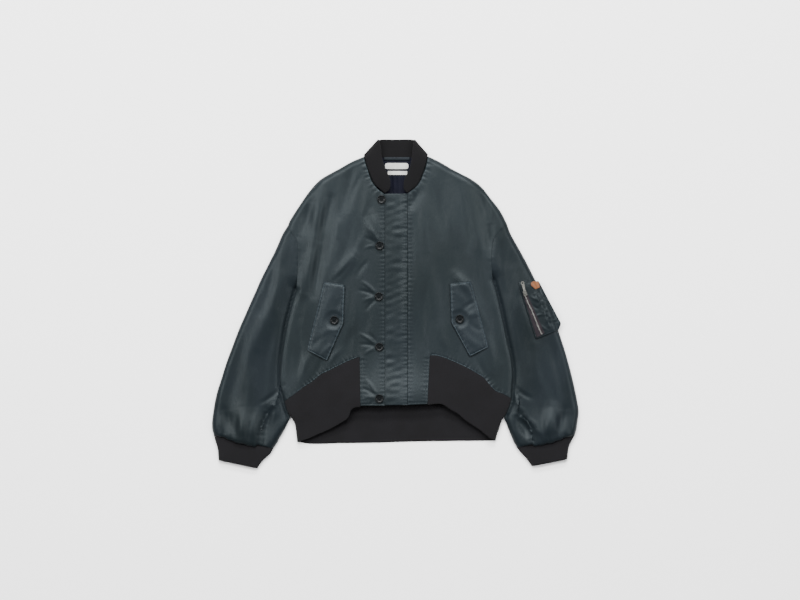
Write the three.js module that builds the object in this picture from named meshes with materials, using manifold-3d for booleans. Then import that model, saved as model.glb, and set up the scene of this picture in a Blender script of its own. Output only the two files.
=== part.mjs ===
// Bomber jacket, buttoned and laid flat on its back.
// Millimetres. X runs to the wearer's left, Y to the collar and Z up from the surface it lies on.
// The origin is the middle of the footprint, on that surface.

import * as THREE from "three";
import { mergeVertices } from "three/addons/utils/BufferGeometryUtils.js";
import Module from "manifold-3d";

const wasm = await Module();
wasm.setup();

// Thickness of each cloth
const SHELL = 2.0; // nylon satin with its lining
const RIB = 2.8; // doubled rib knit
const COLLAR_RIB = 3.0;
const LINING = 1.2;
const LABEL = 1.0;
const FLAP = 2.4;
const POCKET = 3.0;

// How the layers lie
const GAP = 0.3; // between two pieces
const SEAM = GAP / 2; // from a seam line to each of its pieces
const CROWN = 15; // height of the front over the surface it lies on
const FOLD_MIDDLE = 4; // height of the side folds' middle
const BLUNT = 1.2; // half the height of a fold's outermost face
const ROLL = 22; // reach of a rolled edge on top
const UNDER_ROLL = 6; // the same underneath
const SLEEVE_UNDER_BODY = 6.4; // thickness of the sleeve strip that the body covers
const LIFT = 7.2; // the body's rise over that strip
const LIFT_REACH = 34;
const LIFT_MARGIN = 6;
const COVER_MARGIN = 5; // the pressed strip shows by so much beside the body
const CUFF_CROWN = 12;
const CUFF_ROLL = 8;

// Buttons
const BUTTON_RADIUS = 9.3;
const BUTTON_HEIGHT = 3.4;
const BUTTON_SIDES = 12;

// Zip slider and its pull
const SLIDER = { x: 283, y: 23, width: 8, length: 11, height: 3.2, turn: 0.35 };
const BRIDGE = { width: 1.2, span: 7.6, leg: 1.2, clear: 2.3, thick: 1.0 };
const PULL = { length: 27, width: 7, thick: 1.2, eyeWidth: 3, eyeStart: 0.6, eyeEnd: 5.6, turn: 0.23 };
const PULL_OVER_SLIDER = 1.15; // from the slider's face to the hinge
const PULL_TILT = 0.07;

// A table's rows become objects with the named columns
function table(columns, rows) {
  const names = columns.split(" ");
  return rows.map((row) => Object.fromEntries(names.map((name, i) => [name, row[i]])));
}

// Outline of the right half, on the wearer's right, from the neck down
const shoulderRight = table("x y", [
  [-68.6, 323.2], [-95.5, 312.2], [-121.4, 297.4], [-143.9, 285.3], [-165.9, 271.7],
  [-187.9, 248.2], [-209.9, 216.7], [-231.7, 182.4], [-235.8, 172.3],
]);
const armholeRight = table("x y", [
  [-235.8, 172.3], [-225.9, 153.8], [-214.5, 137], [-212.6, 118], [-214.3, 70.2], [-217, 30.6],
]);
const sideRight = table("x y", [
  [-217, 30.6], [-230.1, -15.2], [-238.7, -52.4], [-245.7, -95.3], [-250.1, -129.6],
  [-251.7, -163.9], [-250.1, -183.9], [-245.7, -198.2], [-242.4, -212.5], [-239.6, -224],
  [-233, -241.1], [-223.1, -255.4], [-219.6, -266.9], [-217.1, -286.9], [-215, -308],
]);

// The same on the wearer's left
const shoulderLeft = table("x y", [
  [70.8, 324.3], [98.1, 311.1], [120.1, 298.1], [142.1, 286.4], [164.1, 275],
  [187, 258.3], [208.1, 232.3], [230.1, 203.7], [244.2, 176.7],
]);
const armholeLeft = table("x y", [
  [244.2, 176.7], [233, 165.4], [222.9, 153.8], [214.8, 141], [211, 118.6], [209.7, 89.3], [213.4, 51],
]);
const sideLeft = table("x y", [
  [213.4, 51], [219.8, 30.6], [228.6, -4.6], [237.4, -48.6], [244.9, -83.8], [250.6, -107.4],
  [255, -133.8], [256.5, -160.2], [254.3, -189.4], [253.7, -204.2], [249.3, -221.8],
  [241.8, -239.4], [233, -255.4], [227.3, -274.6], [222.9, -286.2], [218, -308],
]);

// Front neck seam, from the shoulder to the front edge
const neckRight = table("x y", [
  [-68.6, 323.2], [-66.4, 310.2], [-62, 297.9], [-57.6, 284], [-52.8, 270.4],
  [-45.3, 259.2], [-37.8, 251], [-30.4, 245.5], [-24, 240.5],
]);
const neckLeft = table("x y", [
  [71.1, 324], [68.9, 309.1], [65.8, 296.6], [60.7, 284], [55.7, 271.7],
  [49.5, 261.1], [43.1, 254.1], [33.2, 246.6], [27.1, 241.8],
]);
const BACK_NECK = { y: 318, rise: 5.2, half: 69 };

// Centre front and the shell tab between the ribs
const FRONT_EDGE_X = -23; // free edge of the wearer's right front
const BAND = { under: -50, seam: 26.6, top: 241.5, bottom: -221.5, drop: SHELL + GAP, rampStart: 6 };
const TAB = { right: -76.3, left: 70.2, bottom: -222.4, bottomLeft: -218.7 };

// Seam between front and rib, from the tab to the side
const ribSeamRight = table("x y", [
  [-78.5, -115.9], [-104.3, -125.4], [-124.3, -135.3], [-144.3, -145.4], [-164.3, -155.3],
  [-181.5, -169.6], [-201.5, -182.6], [-221.5, -198.2], [-246, -215],
]);
const ribSeamLeft = table("x y", [
  [75.5, -113.1], [87.8, -113.1], [105.4, -117.5], [120.1, -123.4], [140.6, -132.2],
  [164.1, -143.9], [181.7, -154.2], [193.4, -161.5], [205.3, -176.2], [219.8, -191],
  [234.5, -196.7], [258, -209],
]);

// Lower edge of the front ribs, from the tab to the side, and the back hem
const ribHemRight = table("x y", [
  [-76.3, -224.6], [-90, -226.8], [-97, -232.5], [-99.9, -241.1], [-104.3, -249.7],
  [-121.4, -261.1], [-144.3, -274.1], [-167.2, -284], [-190.1, -294.1], [-216, -302.7],
]);
const ribHemLeft = table("x y", [
  [70.2, -220.2], [101, -218.7], [120.1, -230.6], [137.7, -240.7], [152.5, -253.9],
  [170.1, -265.8], [187.7, -277.4], [205.3, -292.2], [222, -300.5],
]);
const backHem = table("x y", [
  [-230, -302], [-215.2, -302.7], [-187.2, -306.9], [-121.9, -305.6], [-33.9, -304.5],
  [10.1, -302.7], [98.1, -301], [218.5, -299.9], [235, -299],
]);
const BACK_RIB_TOP = -207;

// Sleeve sections: the outer edge and the inner edge, from above the armhole to the cuff seam
const sleeveRightSections = table("ox oy ix iy", [
  [-222, 197, -196, 186], [-235.8, 172.3, -196, 160], [-247.3, 153.8, -196, 138],
  [-262.7, 118.6, -196, 100], [-280.3, 83.4, -200, 62], [-296, 52, -216.4, 30.2],
  [-305, 31, -215, 8], [-313.3, 13, -214, -14], [-328.7, -22.2, -214, -52], [-344.1, -57.4, -215.5, -90],
  [-357.3, -92.6, -217.5, -128], [-370.5, -127.8, -220, -164], [-381.5, -163, -223, -200],
  [-392.5, -198.2, -227, -236], [-399.1, -233.4, -238, -266], [-402.4, -262, -252, -291],
  [-401.5, -276, -259, -304], [-398.5, -287, -267, -316],
]);
const sleeveLeftSections = table("ox oy ix iy", [
  [230.1, 203.7, 196, 190], [244.2, 176.7, 196, 162], [252.1, 155.3, 196, 138],
  [274.1, 115.7, 196, 96], [288, 90, 200, 72], [302, 62, 213.2, 50.4],
  [313, 41, 213.5, 22], [324, 20, 214, -8], [341.7, -13.4, 216, -50], [357.1, -57.4, 220, -90],
  [370, -96, 223.5, -128], [381, -134, 227, -164], [390.5, -172, 230.5, -200],
  [398.5, -210, 236, -240], [402.2, -236, 243, -262], [399.5, -259, 254, -290],
  [397, -276, 260, -304], [393, -288, 266, -314],
]);

// Cuff sections in the same way, from past the seam to the open end
const cuffRightSections = table("ox oy ix iy", [
  [-394, -303, -274, -328], [-389.6, -318.3, -284, -337],
  [-388.7, -332, -294, -347], [-387.5, -342.5, -302.6, -360.4],
]);
const cuffLeftSections = table("ox oy ix iy", [
  [386, -301, 274.1, -325], [380.5, -313, 284.5, -336],
  [378.5, -327, 293.3, -347], [376.9, -340.6, 299.6, -355.7],
]);

// Rises of the whole surface: centre, reach and height
const bulges = table("x y reachX reachY height", [
  [0, -215, 130, 60, 13], [0, 120, 170, 150, 2.5], [-335, -282, 60, 38, 7], [340, -276, 60, 38, 7],
]);

// The largest folds: from, to, half width and height, negative for a trough
const folds = table("x1 y1 x2 y2 width height", [
  [-161, 259, -175, 141, 13, 3], [-175, 141, -197, 26, 13, 3.4], [-144, 229, -161, 141, 10, -3],
  [-161, 141, -179, 20, 10, -3], [-93, 294, -122, 193, 11, -2.4], [-51, 196, -38, 149, 11, 2.2],
  [-89, 108, -126, 60, 11, 2.4], [-186, 220, -206, 150, 12, -3], [186, 250, 204, 177, 12, -3],
  [204, 177, 209, 118, 11, -2.6], [51, 246, 29, 205, 9, -2], [131, 66, 160, 30, 10, 2.2],
  [-291, -299, -276, -236, 12, -6], [297, -292, 272, -248, 12, -6], [-330, -290, -338, -225, 12, 3],
  [330, -288, 345, -225, 12, 3], [-250, 60, -300, -90, 16, 2.6], [255, 70, 300, -80, 16, 2.4],
  [-360, -285, -368, -235, 11, -3], [362, -280, 370, -235, 11, -3], [-40, 136, -66, 180, 9, 2],
]);

// Pockets, buttons and labels
const flapRight = table("x y", [
  [-157.1, 49.3], [-112, 42.7], [-109.8, 37.2], [-112.9, -42.5], [-149.2, -125.4], [-194.9, -101.6],
]);
const flapLeft = table("x y", [
  [118.6, 45.3], [166.3, 50.4], [204.8, -94.8], [162.6, -116.2], [121.7, -41.4],
]);
const frontButtons = table("x y", [
  [-30.4, 228.6], [-34.1, 127.4], [-36.1, 16.3], [-35, -93.9], [-34.8, -206.1],
]);
const flapButtons = { right: { x: -133.5, y: -35.4 }, left: { x: 140.6, y: -32.6 } };
const sleevePocket = table("x y", [
  [267.5, 47.5], [313.7, 50.4], [363.2, -43.3], [357.1, -57], [306.7, -78.1],
]);
const POCKET_STAND = 11; // least height of the pocket's corner beyond the sleeve's edge
const POCKET_OVERHANG = 16;
const zipTape = table("x y", [
  [278.6, 20.8], [287, 24], [300, -6], [326, -64], [309, -73.5],
]);
const leatherTab = table("x y", [
  [296.1, 46], [300.5, 49.3], [312.8, 50.4], [316.4, 36.3], [305.8, 32.1], [296.1, 40.5],
]);
const backLining = table("x y", [
  [-50, 317.2], [-54, 290], [-44, 262], [-30, 236], [30, 236], [46, 262], [57, 290], [54, 317.2],
]);
const PLEAT = { x: -1, width: 5, height: 1.6 };
const hangLoop = { left: -25, right: 31, bottom: 314.4, top: 322, round: 1 };
const neckLabel = { left: -22.9, right: 28.6, bottom: 294.6, top: 308.9, round: 6.5 };
const sizeLabel = { left: -16.7, right: 26, bottom: 282.9, top: 292.6, round: 1 };

// Collar sections: the seam edge and the free edge, from the right front end to the left
const collarSections = table("bx by bz tx ty tz", [
  [-23.2, 243.8, 15.5, -20.4, 245.2, 15.8], [-28.2, 248, 15.6, -12.6, 252, 17.5],
  [-43.4, 262, 15.4, -12, 273, 19], [-54.8, 285, 15, -22, 295, 19.2],
  [-63, 309, 14.2, -29.5, 322, 18], [-65.6, 318.5, 13, -32, 344, 15.5],
  [-68.2, 326, 8, -36.4, 359.2, 9], [-63.5, 326.4, 3.2, -37, 357.6, 4],
  [-52, 322.4, 1.8, -30, 359.2, 2], [0, 319.6, 1.8, 2, 359.2, 1.8],
  [54, 322.4, 1.8, 34, 359.4, 2], [65.6, 327, 3.2, 41.6, 357.8, 4],
  [70.4, 327, 8, 41, 359.4, 9], [68, 319, 13, 38, 344, 15.5],
  [65.8, 309, 14.2, 36, 322, 18], [58, 285, 15, 31, 295, 19.2],
  [47.6, 262, 15.4, 19.8, 273, 19], [31.6, 248.4, 15.6, 18.6, 252, 17.5],
  [26.6, 244.6, 15.5, 23.6, 245.8, 15.8],
]);
const COLLAR = { steps: 34, across: 3, bow: 2 };

// Small helpers on numbers and lines
const clamp = (t) => Math.min(1, Math.max(0, t));
const smooth = (t) => clamp(t) ** 2 * (3 - 2 * clamp(t));
const arc = (t) => Math.sqrt(1 - (1 - clamp(t)) ** 2);
const mix = (a, b, t) => a + (b - a) * t;
const sum = (values) => values.reduce((total, value) => total + value, 0);

// Where the nearest point of a stretch lies, as a share of its length, and how far off
function toStretch(x, y, x1, y1, x2, y2) {
  const length2 = (x2 - x1) ** 2 + (y2 - y1) ** 2;
  const share = ((x - x1) * (x2 - x1) + (y - y1) * (y2 - y1)) / length2;
  const near = clamp(share);
  return { share, distance: Math.hypot(x - mix(x1, x2, near), y - mix(y1, y2, near)) };
}

function distanceTo(line, x, y) {
  let nearest = Infinity;
  for (let i = 1; i < line.length; i += 1) {
    const stretch = toStretch(x, y, line[i - 1].x, line[i - 1].y, line[i].x, line[i].y);
    nearest = Math.min(nearest, stretch.distance);
  }
  return nearest;
}

// x of a line that runs down in y
function xAt(line, y) {
  let i = 1;
  while (i < line.length - 1 && line[i].y > y) i += 1;
  const [a, b] = [line[i - 1], line[i]];
  return mix(a.x, b.x, clamp((a.y - y) / (a.y - b.y)));
}

const outer = (sections) => sections.map((row) => ({ x: row.ox, y: row.oy }));
const inner = (sections) => sections.map((row) => ({ x: row.ix, y: row.iy }));

// The two sides of the jacket
const right = {
  outline: [...shoulderRight, ...armholeRight.slice(1), ...sideRight.slice(1)],
  side: sideRight,
  top: [...shoulderRight, ...outer(sleeveRightSections).slice(2)],
  sleeveInner: inner(sleeveRightSections),
  armpit: sideRight[0],
};
const left = {
  outline: [...shoulderLeft, ...armholeLeft.slice(1), ...sideLeft.slice(1)],
  side: sideLeft,
  top: [...shoulderLeft, ...outer(sleeveLeftSections).slice(2)],
  sleeveInner: inner(sleeveLeftSections),
  armpit: sideLeft[0],
};
const sideOf = (x) => (x < 0 ? right : left);

// Height of the crowned surface before its edges are rolled, and of the folds on it
function crown(x, y) {
  const rise = ({ x: cx, y: cy, reachX, reachY, height }) =>
    height * Math.exp(-(((x - cx) / reachX) ** 2) - ((y - cy) / reachY) ** 2);
  return CROWN + sum(bulges.map(rise));
}

function foldHeight(x, y) {
  return sum(folds.map((fold) => {
    const { share, distance } = toStretch(x, y, fold.x1, fold.y1, fold.x2, fold.y2);
    const taper = Math.sin(Math.PI * mix(0.12, 0.88, clamp(share)));
    return fold.height * taper * Math.exp(-((distance / fold.width) ** 2));
  }));
}

// How far down the side the sleeve lies beneath the body: 1 where it does
function overSleeve(side, y) {
  const start = side.armpit.y;
  return smooth((start + 48 - y) / 28) * smooth((y + 278) / 28);
}

function seamHeight(x, y) {
  return FOLD_MIDDLE + LIFT * overSleeve(sideOf(x), y);
}

// Underside of the back wall: flat on the surface, lifted where it covers the sleeve
function lift(x, y) {
  const side = sideOf(x);
  const reach = Math.abs(x) - Math.abs(xAt(side.sleeveInner, y)) + LIFT_MARGIN + LIFT_REACH;
  return LIFT * overSleeve(side, y) * smooth(reach / LIFT_REACH);
}

function bodyEdgeDistance(x, y) {
  const side = sideOf(x);
  return Math.min(distanceTo(side.top, x, y), distanceTo(side.side, x, y));
}

// Top face of the front, and the inner face under it
function bodyTop(x, y) {
  const edge = seamHeight(x, y) + BLUNT;
  const rise = arc(bodyEdgeDistance(x, y) / ROLL);
  return edge + (crown(x, y) - edge + foldHeight(x, y)) * rise;
}

function underTop(top, seam, distance, wall, roll) {
  const rise = arc((distance - wall) / roll) / Math.max(arc(distance / roll), 0.001);
  return seam + Math.max(0, top - wall - seam) * Math.min(1, rise);
}

function frontInside(x, y, wall) {
  return underTop(bodyTop(x, y), seamHeight(x, y) + SEAM, bodyEdgeDistance(x, y), wall, ROLL);
}

// Lower face and inner face of the back
function backUnder(x, y) {
  const drop = 1 - arc(bodyEdgeDistance(x, y) / UNDER_ROLL);
  const base = lift(x, y);
  return mix(base, seamHeight(x, y) - BLUNT, drop);
}

function backInside(x, y, wall) {
  const drop = 1 - arc((bodyEdgeDistance(x, y) - wall) / UNDER_ROLL);
  return mix(lift(x, y) + wall, seamHeight(x, y) - SEAM, drop);
}

// Top face of a sleeve: rolled at both edges and pressed flat beneath the body
function sleeveTop(x, y, side) {
  const distance = Math.min(distanceTo(side.top, x, y), distanceTo(side.sleeveInner, x, y));
  const edge = FOLD_MIDDLE + BLUNT * 0.5;
  const open = edge + (crown(x, y) - edge + foldHeight(x, y)) * arc(distance / ROLL);
  const beneath = Math.abs(x) < Math.abs(xAt(side.side, y)) && y < side.armpit.y;
  const away = beneath ? 0 : Math.max(0, distanceTo(side.side, x, y) - COVER_MARGIN);
  const pressed = SLEEVE_UNDER_BODY + (open - SLEEVE_UNDER_BODY) * arc(away / (ROLL * 1.6));
  const covers = y < side.armpit.y + 4 && y > -275;
  return covers ? Math.min(open, pressed) : open;
}

// Closed solids from grids of points

function checked(positions, indices) {
  const geometry = new THREE.BufferGeometry();
  geometry.setAttribute("position", new THREE.Float32BufferAttribute(positions, 3));
  geometry.setIndex(indices);
  return geometry;
}

function signedVolume(positions, indices) {
  const [a, b, c] = [new THREE.Vector3(), new THREE.Vector3(), new THREE.Vector3()];
  let total = 0;
  for (let i = 0; i < indices.length; i += 3) {
    a.fromArray(positions, indices[i] * 3);
    b.fromArray(positions, indices[i + 1] * 3);
    c.fromArray(positions, indices[i + 2] * 3);
    total += a.dot(b.cross(c)) / 6;
  }
  return total;
}

function facingOut(positions, indices) {
  if (signedVolume(positions, indices) < 0) indices.reverse();
  return checked(positions, indices);
}

// Two faces of the same grid, joined round their border
function wallGrid(upper, lower) {
  const rows = upper.length;
  const columns = upper[0].length;
  const count = rows * columns;
  const positions = [...upper.flat(2), ...lower.flat(2)];
  const indices = [];
  const quad = (a, b, c, d) => indices.push(a, b, c, a, c, d);
  const at = (i, j) => i * columns + j;
  for (let i = 0; i < rows - 1; i += 1) {
    for (let j = 0; j < columns - 1; j += 1) {
      quad(at(i, j), at(i + 1, j), at(i + 1, j + 1), at(i, j + 1));
      indices.push(count + at(i, j), count + at(i + 1, j + 1), count + at(i + 1, j));
      indices.push(count + at(i, j), count + at(i, j + 1), count + at(i + 1, j + 1));
    }
  }
  const border = [];
  for (let j = 0; j < columns - 1; j += 1) border.push(at(0, j));
  for (let i = 0; i < rows - 1; i += 1) border.push(at(i, columns - 1));
  for (let j = columns - 1; j > 0; j -= 1) border.push(at(rows - 1, j));
  for (let i = rows - 1; i > 0; i -= 1) border.push(at(i, 0));
  border.forEach((a, k) => {
    const b = border[(k + 1) % border.length];
    quad(a, b, count + b, count + a);
  });
  return facingOut(positions, indices);
}

// Two closed rings at each section, joined at both open ends
function tubeGrid(outside, inside) {
  const rows = outside.length;
  const around = outside[0].length;
  const count = rows * around;
  const positions = [...outside.flat(2), ...inside.flat(2)];
  const indices = [];
  const quad = (a, b, c, d) => indices.push(a, b, c, a, c, d);
  const at = (i, j) => i * around + (j % around);
  for (let j = 0; j < around; j += 1) {
    for (let i = 0; i < rows - 1; i += 1) {
      quad(at(i, j), at(i + 1, j), at(i + 1, j + 1), at(i, j + 1));
      quad(count + at(i, j), count + at(i, j + 1), count + at(i + 1, j + 1), count + at(i + 1, j));
    }
    quad(at(0, j), at(0, j + 1), count + at(0, j + 1), count + at(0, j));
    const last = rows - 1;
    quad(at(last, j + 1), at(last, j), count + at(last, j), count + at(last, j + 1));
  }
  return facingOut(positions, indices);
}

// Joining and cutting

function toManifold(geometry) {
  const bare = geometry.clone();
  bare.deleteAttribute("normal");
  bare.deleteAttribute("uv");
  const merged = mergeVertices(bare, 1e-4);
  const vertProperties = new Float32Array(merged.attributes.position.array);
  const triVerts = new Uint32Array(merged.index.array);
  return new wasm.Manifold(new wasm.Mesh({ numProp: 3, vertProperties, triVerts }));
}

function toGeometry(solid) {
  const mesh = solid.getMesh();
  const positions = [];
  for (let i = 0; i < mesh.numVert; i += 1) {
    positions.push(...mesh.vertProperties.slice(i * mesh.numProp, i * mesh.numProp + 3));
  }
  return checked(positions, [...mesh.triVerts]);
}

// Each point of an outline moved inwards by the same margin
function inset(outline, margin) {
  const turning = sum(outline.map((a, i) => {
    const b = outline[(i + 1) % outline.length];
    return a.x * b.y - b.x * a.y;
  }));
  const sign = Math.sign(turning);
  return outline.map((point, i) => {
    const before = outline[(i + outline.length - 1) % outline.length];
    const after = outline[(i + 1) % outline.length];
    const d1 = new THREE.Vector2(point.x - before.x, point.y - before.y).normalize();
    const d2 = new THREE.Vector2(after.x - point.x, after.y - point.y).normalize();
    const normal = new THREE.Vector2(-(d1.y + d2.y), d1.x + d2.x).normalize();
    const stretch = Math.max(0.5, normal.dot(new THREE.Vector2(-d1.y, d1.x)));
    const move = (sign * margin) / stretch;
    return { x: point.x + normal.x * move, y: point.y + normal.y * move };
  });
}

// An upright block over an outline
function prism(outline) {
  const shape = new THREE.Shape(outline.map((point) => new THREE.Vector2(point.x, point.y)));
  const block = new THREE.ExtrudeGeometry(shape, { depth: 80, bevelEnabled: false });
  block.translate(0, 0, -20);
  return toManifold(block);
}

const within = (geometry, outline) => toGeometry(toManifold(geometry).intersect(prism(outline)));

function rounded({ left: x1, right: x2, bottom: y1, top: y2, round }) {
  const corners = [[x2 - round, y2 - round, 0], [x1 + round, y2 - round, 1],
    [x1 + round, y1 + round, 2], [x2 - round, y1 + round, 3]];
  const steps = round > 2 ? 5 : 1;
  return corners.flatMap(([cx, cy, quarter]) => Array.from({ length: steps + 1 }, (_, k) => {
    const angle = (quarter + k / steps) * Math.PI / 2;
    return { x: cx + round * Math.cos(angle), y: cy + round * Math.sin(angle) };
  }));
}

// Grids over the body

const bodyOutline = [...right.outline, ...[...left.outline].reverse()];

const range = (from, to, count) => Array.from({ length: count + 1 }, (_, i) => mix(from, to, i / count));

// Columns of one row: close together at both sides, and at fixed places in the middle
function columnsAt(y, plan) {
  const xRight = xAt(right.outline, y) + SEAM;
  const xLeft = xAt(left.outline, y) - SEAM;
  const first = plan.middle[0];
  const last = plan.middle[plan.middle.length - 1];
  const reach = plan.edge[plan.edge.length - 1];
  const shareRight = Math.min(1, (first - xRight) / (reach * 1.5));
  const shareLeft = Math.min(1, (xLeft - last) / (reach * 1.5));
  const fromRight = plan.edge.map((offset) => xRight + offset * shareRight);
  const fromLeft = plan.edge.map((offset) => xLeft - offset * shareLeft).reverse();
  const between = (a, b) => range(a, b, plan.between).slice(1, -1);
  return [
    ...fromRight, ...between(fromRight[fromRight.length - 1], first),
    ...plan.middle, ...between(last, fromLeft[0]), ...fromLeft,
  ];
}

const frontPlan = { edge: [0, 1.5, 5, 11, 20], between: 9, middle: [-52, -37, -23, -9, 6, 26.6, 44] };
const ribPlan = { edge: [0, 1.5, 5, 11, 20], between: 7, middle: [-52, 0, 44] };
const backPlan = { edge: [0, 2, 6, 20, 36, 54], between: 2, middle: [-1] };
const frontRows = range(321.5, -223, 24);
const ribRows = range(-108, -304, 14);
const backRows = [322.8, ...frontRows.filter((y) => y > BACK_RIB_TOP), BACK_RIB_TOP - 1];
const backRibRows = [...ribRows.filter((y) => y < BACK_RIB_TOP + 14), -307.5];

function faces(rows, plan, upper, lower) {
  const grid = (height) => rows.map((y) => columnsAt(y, plan).map((x) => [x, y, height(x, y)]));
  return within(wallGrid(grid(upper), grid(lower)), inset(bodyOutline, SEAM));
}

// Any piece on the front: its outline, how far it is moved out and its thickness
function onFront(outline, out, thickness) {
  const face = (extra) => (x, y) => bodyTop(x, y) + out + extra;
  return within(faces(frontRows, frontPlan, face(thickness), face(0)), outline);
}

// Shell pieces

const FAR = 420;
const frontEdge = (side) => (side === "right"
  ? [{ x: FRONT_EDGE_X, y: 240 }, { x: FRONT_EDGE_X, y: TAB.bottom }]
  : [{ x: BAND.seam, y: 241.4 }, { x: BAND.seam, y: TAB.bottomLeft - 2 }]);

const frontRightOutline = [
  { x: -69, y: 340 }, ...neckRight, ...frontEdge("right"), { x: TAB.right, y: TAB.bottom },
  ...ribSeamRight, { x: -FAR, y: -215 }, { x: -FAR, y: 340 },
];
const frontLeftOutline = [
  { x: 71.5, y: 340 }, ...neckLeft, ...frontEdge("left"), { x: TAB.left, y: TAB.bottomLeft },
  ...ribSeamLeft, { x: FAR, y: -209 }, { x: FAR, y: 340 },
];

function front(outline) {
  const wall = faces(frontRows, frontPlan, bodyTop, (x, y) => frontInside(x, y, SHELL));
  return within(wall, inset(outline, SEAM));
}

// The band of the left front runs on beneath the right front, one layer lower
function buttonBand() {
  const drop = (x) => BAND.drop * (1 - smooth((x - BAND.rampStart) / (BAND.seam - BAND.rampStart)));
  const upper = (x, y) => bodyTop(x, y) - drop(x);
  const lower = (x, y) => frontInside(x, y, SHELL) - drop(x);
  const { under, seam, top, bottom } = BAND;
  const outline = [
    { x: under, y: top - 6 }, { x: -30, y: top - 1 }, { x: -21, y: top }, { x: seam - SEAM, y: top },
    { x: seam - SEAM, y: bottom + 1 }, { x: under, y: bottom },
  ];
  return within(faces(frontRows, frontPlan, upper, lower), outline);
}

function hemRibFront(side) {
  const seam = side === "right" ? ribSeamRight : ribSeamLeft;
  const hem = side === "right" ? ribHemRight : ribHemLeft;
  const far = side === "right" ? -FAR : FAR;
  const outline = [
    ...seam, { x: far, y: seam[seam.length - 1].y }, { x: far, y: hem[hem.length - 1].y },
    ...[...hem].reverse(),
  ];
  const upper = (x, y) => bodyTop(x, y);
  const lower = (x, y) => frontInside(x, y, RIB);
  return within(faces(ribRows, ribPlan, upper, lower), inset(outline, SEAM));
}

function backWall(rows, wall, outline) {
  const upper = (x, y) => backInside(x, y, wall);
  return within(faces(rows, backPlan, upper, backUnder), outline);
}

function backPanel() {
  const neck = range(-BACK_NECK.half, BACK_NECK.half, 8).map((x) => (
    { x, y: BACK_NECK.y + BACK_NECK.rise * (x / BACK_NECK.half) ** 2 }));
  const foot = BACK_RIB_TOP + SEAM;
  const outline = [
    ...neck, { x: FAR, y: 322 }, { x: FAR, y: foot }, { x: -FAR, y: foot }, { x: -FAR, y: 322 },
  ];
  return backWall(backRows, SHELL, outline);
}

function hemRibBack() {
  const head = BACK_RIB_TOP - SEAM;
  return backWall(backRibRows, RIB, [...backHem, { x: FAR, y: head }, { x: -FAR, y: head }]);
}

// Lining and labels seen in the neck, laid on the back wall
function onBack(outline, out, thickness) {
  const pleat = (x) => PLEAT.height * Math.exp(-(((x - PLEAT.x) / PLEAT.width) ** 2));
  const face = (extra) => (x, y) => backInside(x, y, SHELL) + out + extra + pleat(x);
  const plan = { edge: [0, 40], between: 3, middle: [-24, -9, -1, 7, 25] };
  const rows = range(326, 230, 8);
  return within(faces(rows, plan, face(thickness), face(0)), outline);
}

// Sleeves and cuffs

// Places along a section: close together at both edges, and one where the body's side crosses it
function acrossSection(row, side) {
  const length = Math.hypot(row.ix - row.ox, row.iy - row.oy);
  const [outerEdge, innerEdge] = [[0, 2, 7, 16], [7, 2, 0]];
  const beneath = (along) => {
    const point = sectionPoint(row, along, length);
    return Math.abs(point.x) < Math.abs(xAt(side.side, point.y)) + COVER_MARGIN;
  };
  const covered = range(0, length, 200).find(beneath) ?? length;
  const cover = Math.min(covered, length - 16);
  return [...outerEdge, ...range(16, cover, 5).slice(1), ...innerEdge.map((offset) => length - offset)];
}

function sectionPoint(row, along, length) {
  const share = along / length;
  return { x: mix(row.ox, row.ix, share), y: mix(row.oy, row.iy, share) };
}

// One ring: over the top from the outer edge to the inner one and back underneath
function ring(row, side, wall, topAt, crownRoll) {
  const places = acrossSection(row, side);
  const length = places[places.length - 1];
  const outside = [];
  const inside = [];
  const add = (along, upper) => {
    const edge = Math.min(along, length - along);
    const point = sectionPoint(row, along, length);
    const drop = 1 - arc(edge / UNDER_ROLL);
    const z = upper ? topAt(point.x, point.y) : mix(0, FOLD_MIDDLE, drop);
    outside.push([point.x, point.y, edge === 0 ? FOLD_MIDDLE : z]);
    const insideAlong = mix(wall, length - wall, along / length);
    const hollow = sectionPoint(row, insideAlong, length);
    const top = topAt(hollow.x, hollow.y);
    const insideEdge = Math.min(insideAlong, length - insideAlong);
    const insideTop = underTop(top, FOLD_MIDDLE, insideEdge, wall, crownRoll);
    const insideBottom = mix(wall, FOLD_MIDDLE, drop);
    const level = upper ? Math.max(insideTop, insideBottom + 0.6) : insideBottom;
    inside.push([hollow.x, hollow.y, edge === 0 ? FOLD_MIDDLE : level]);
  };
  places.forEach((along) => add(along, true));
  places.slice(1, -1).reverse().forEach((along) => add(along, false));
  return { outside, inside };
}

function tubeOf(sections, side, wall, topAt, crownRoll) {
  const rings = sections.map((row) => ring(row, side, wall, topAt, crownRoll));
  return tubeGrid(rings.map((each) => each.outside), rings.map((each) => each.inside));
}

// The last stretch of a sleeve comes down to the cuff's height
function towardsCuff(side, seamRow, top, x, y) {
  const { distance } = toStretch(x, y, seamRow.ox, seamRow.oy, seamRow.ix, seamRow.iy);
  return mix(Math.min(top, CUFF_CROWN + 1), top, arc(distance / 16));
}

function sleeve(side, sections, armhole) {
  const seamRow = sections[sections.length - 1];
  const topAt = (x, y) => towardsCuff(side, seamRow, sleeveTop(x, y, side), x, y);
  const wall = tubeOf(sections, side, SHELL, topAt, ROLL);
  const inward = Math.sign(armhole[0].x) * 120;
  const start = armhole[0];
  const end = armhole[armhole.length - 1];
  const bodySide = [
    { x: start.x, y: 260 }, ...armhole, { x: inward, y: end.y }, { x: inward, y: 260 },
  ];
  return toGeometry(toManifold(wall).subtract(prism(inset(bodySide, -SEAM))));
}

// A section moved on past the sleeve's last one by the gap between two pieces
function pastSeam({ ox, oy, ix, iy }) {
  const share = (GAP * Math.sign(ix - ox)) / Math.hypot(ix - ox, iy - oy);
  const [x, y] = [(iy - oy) * share, (ox - ix) * share];
  return { ox: ox + x, oy: oy + y, ix: ix + x, iy: iy + y };
}

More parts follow.
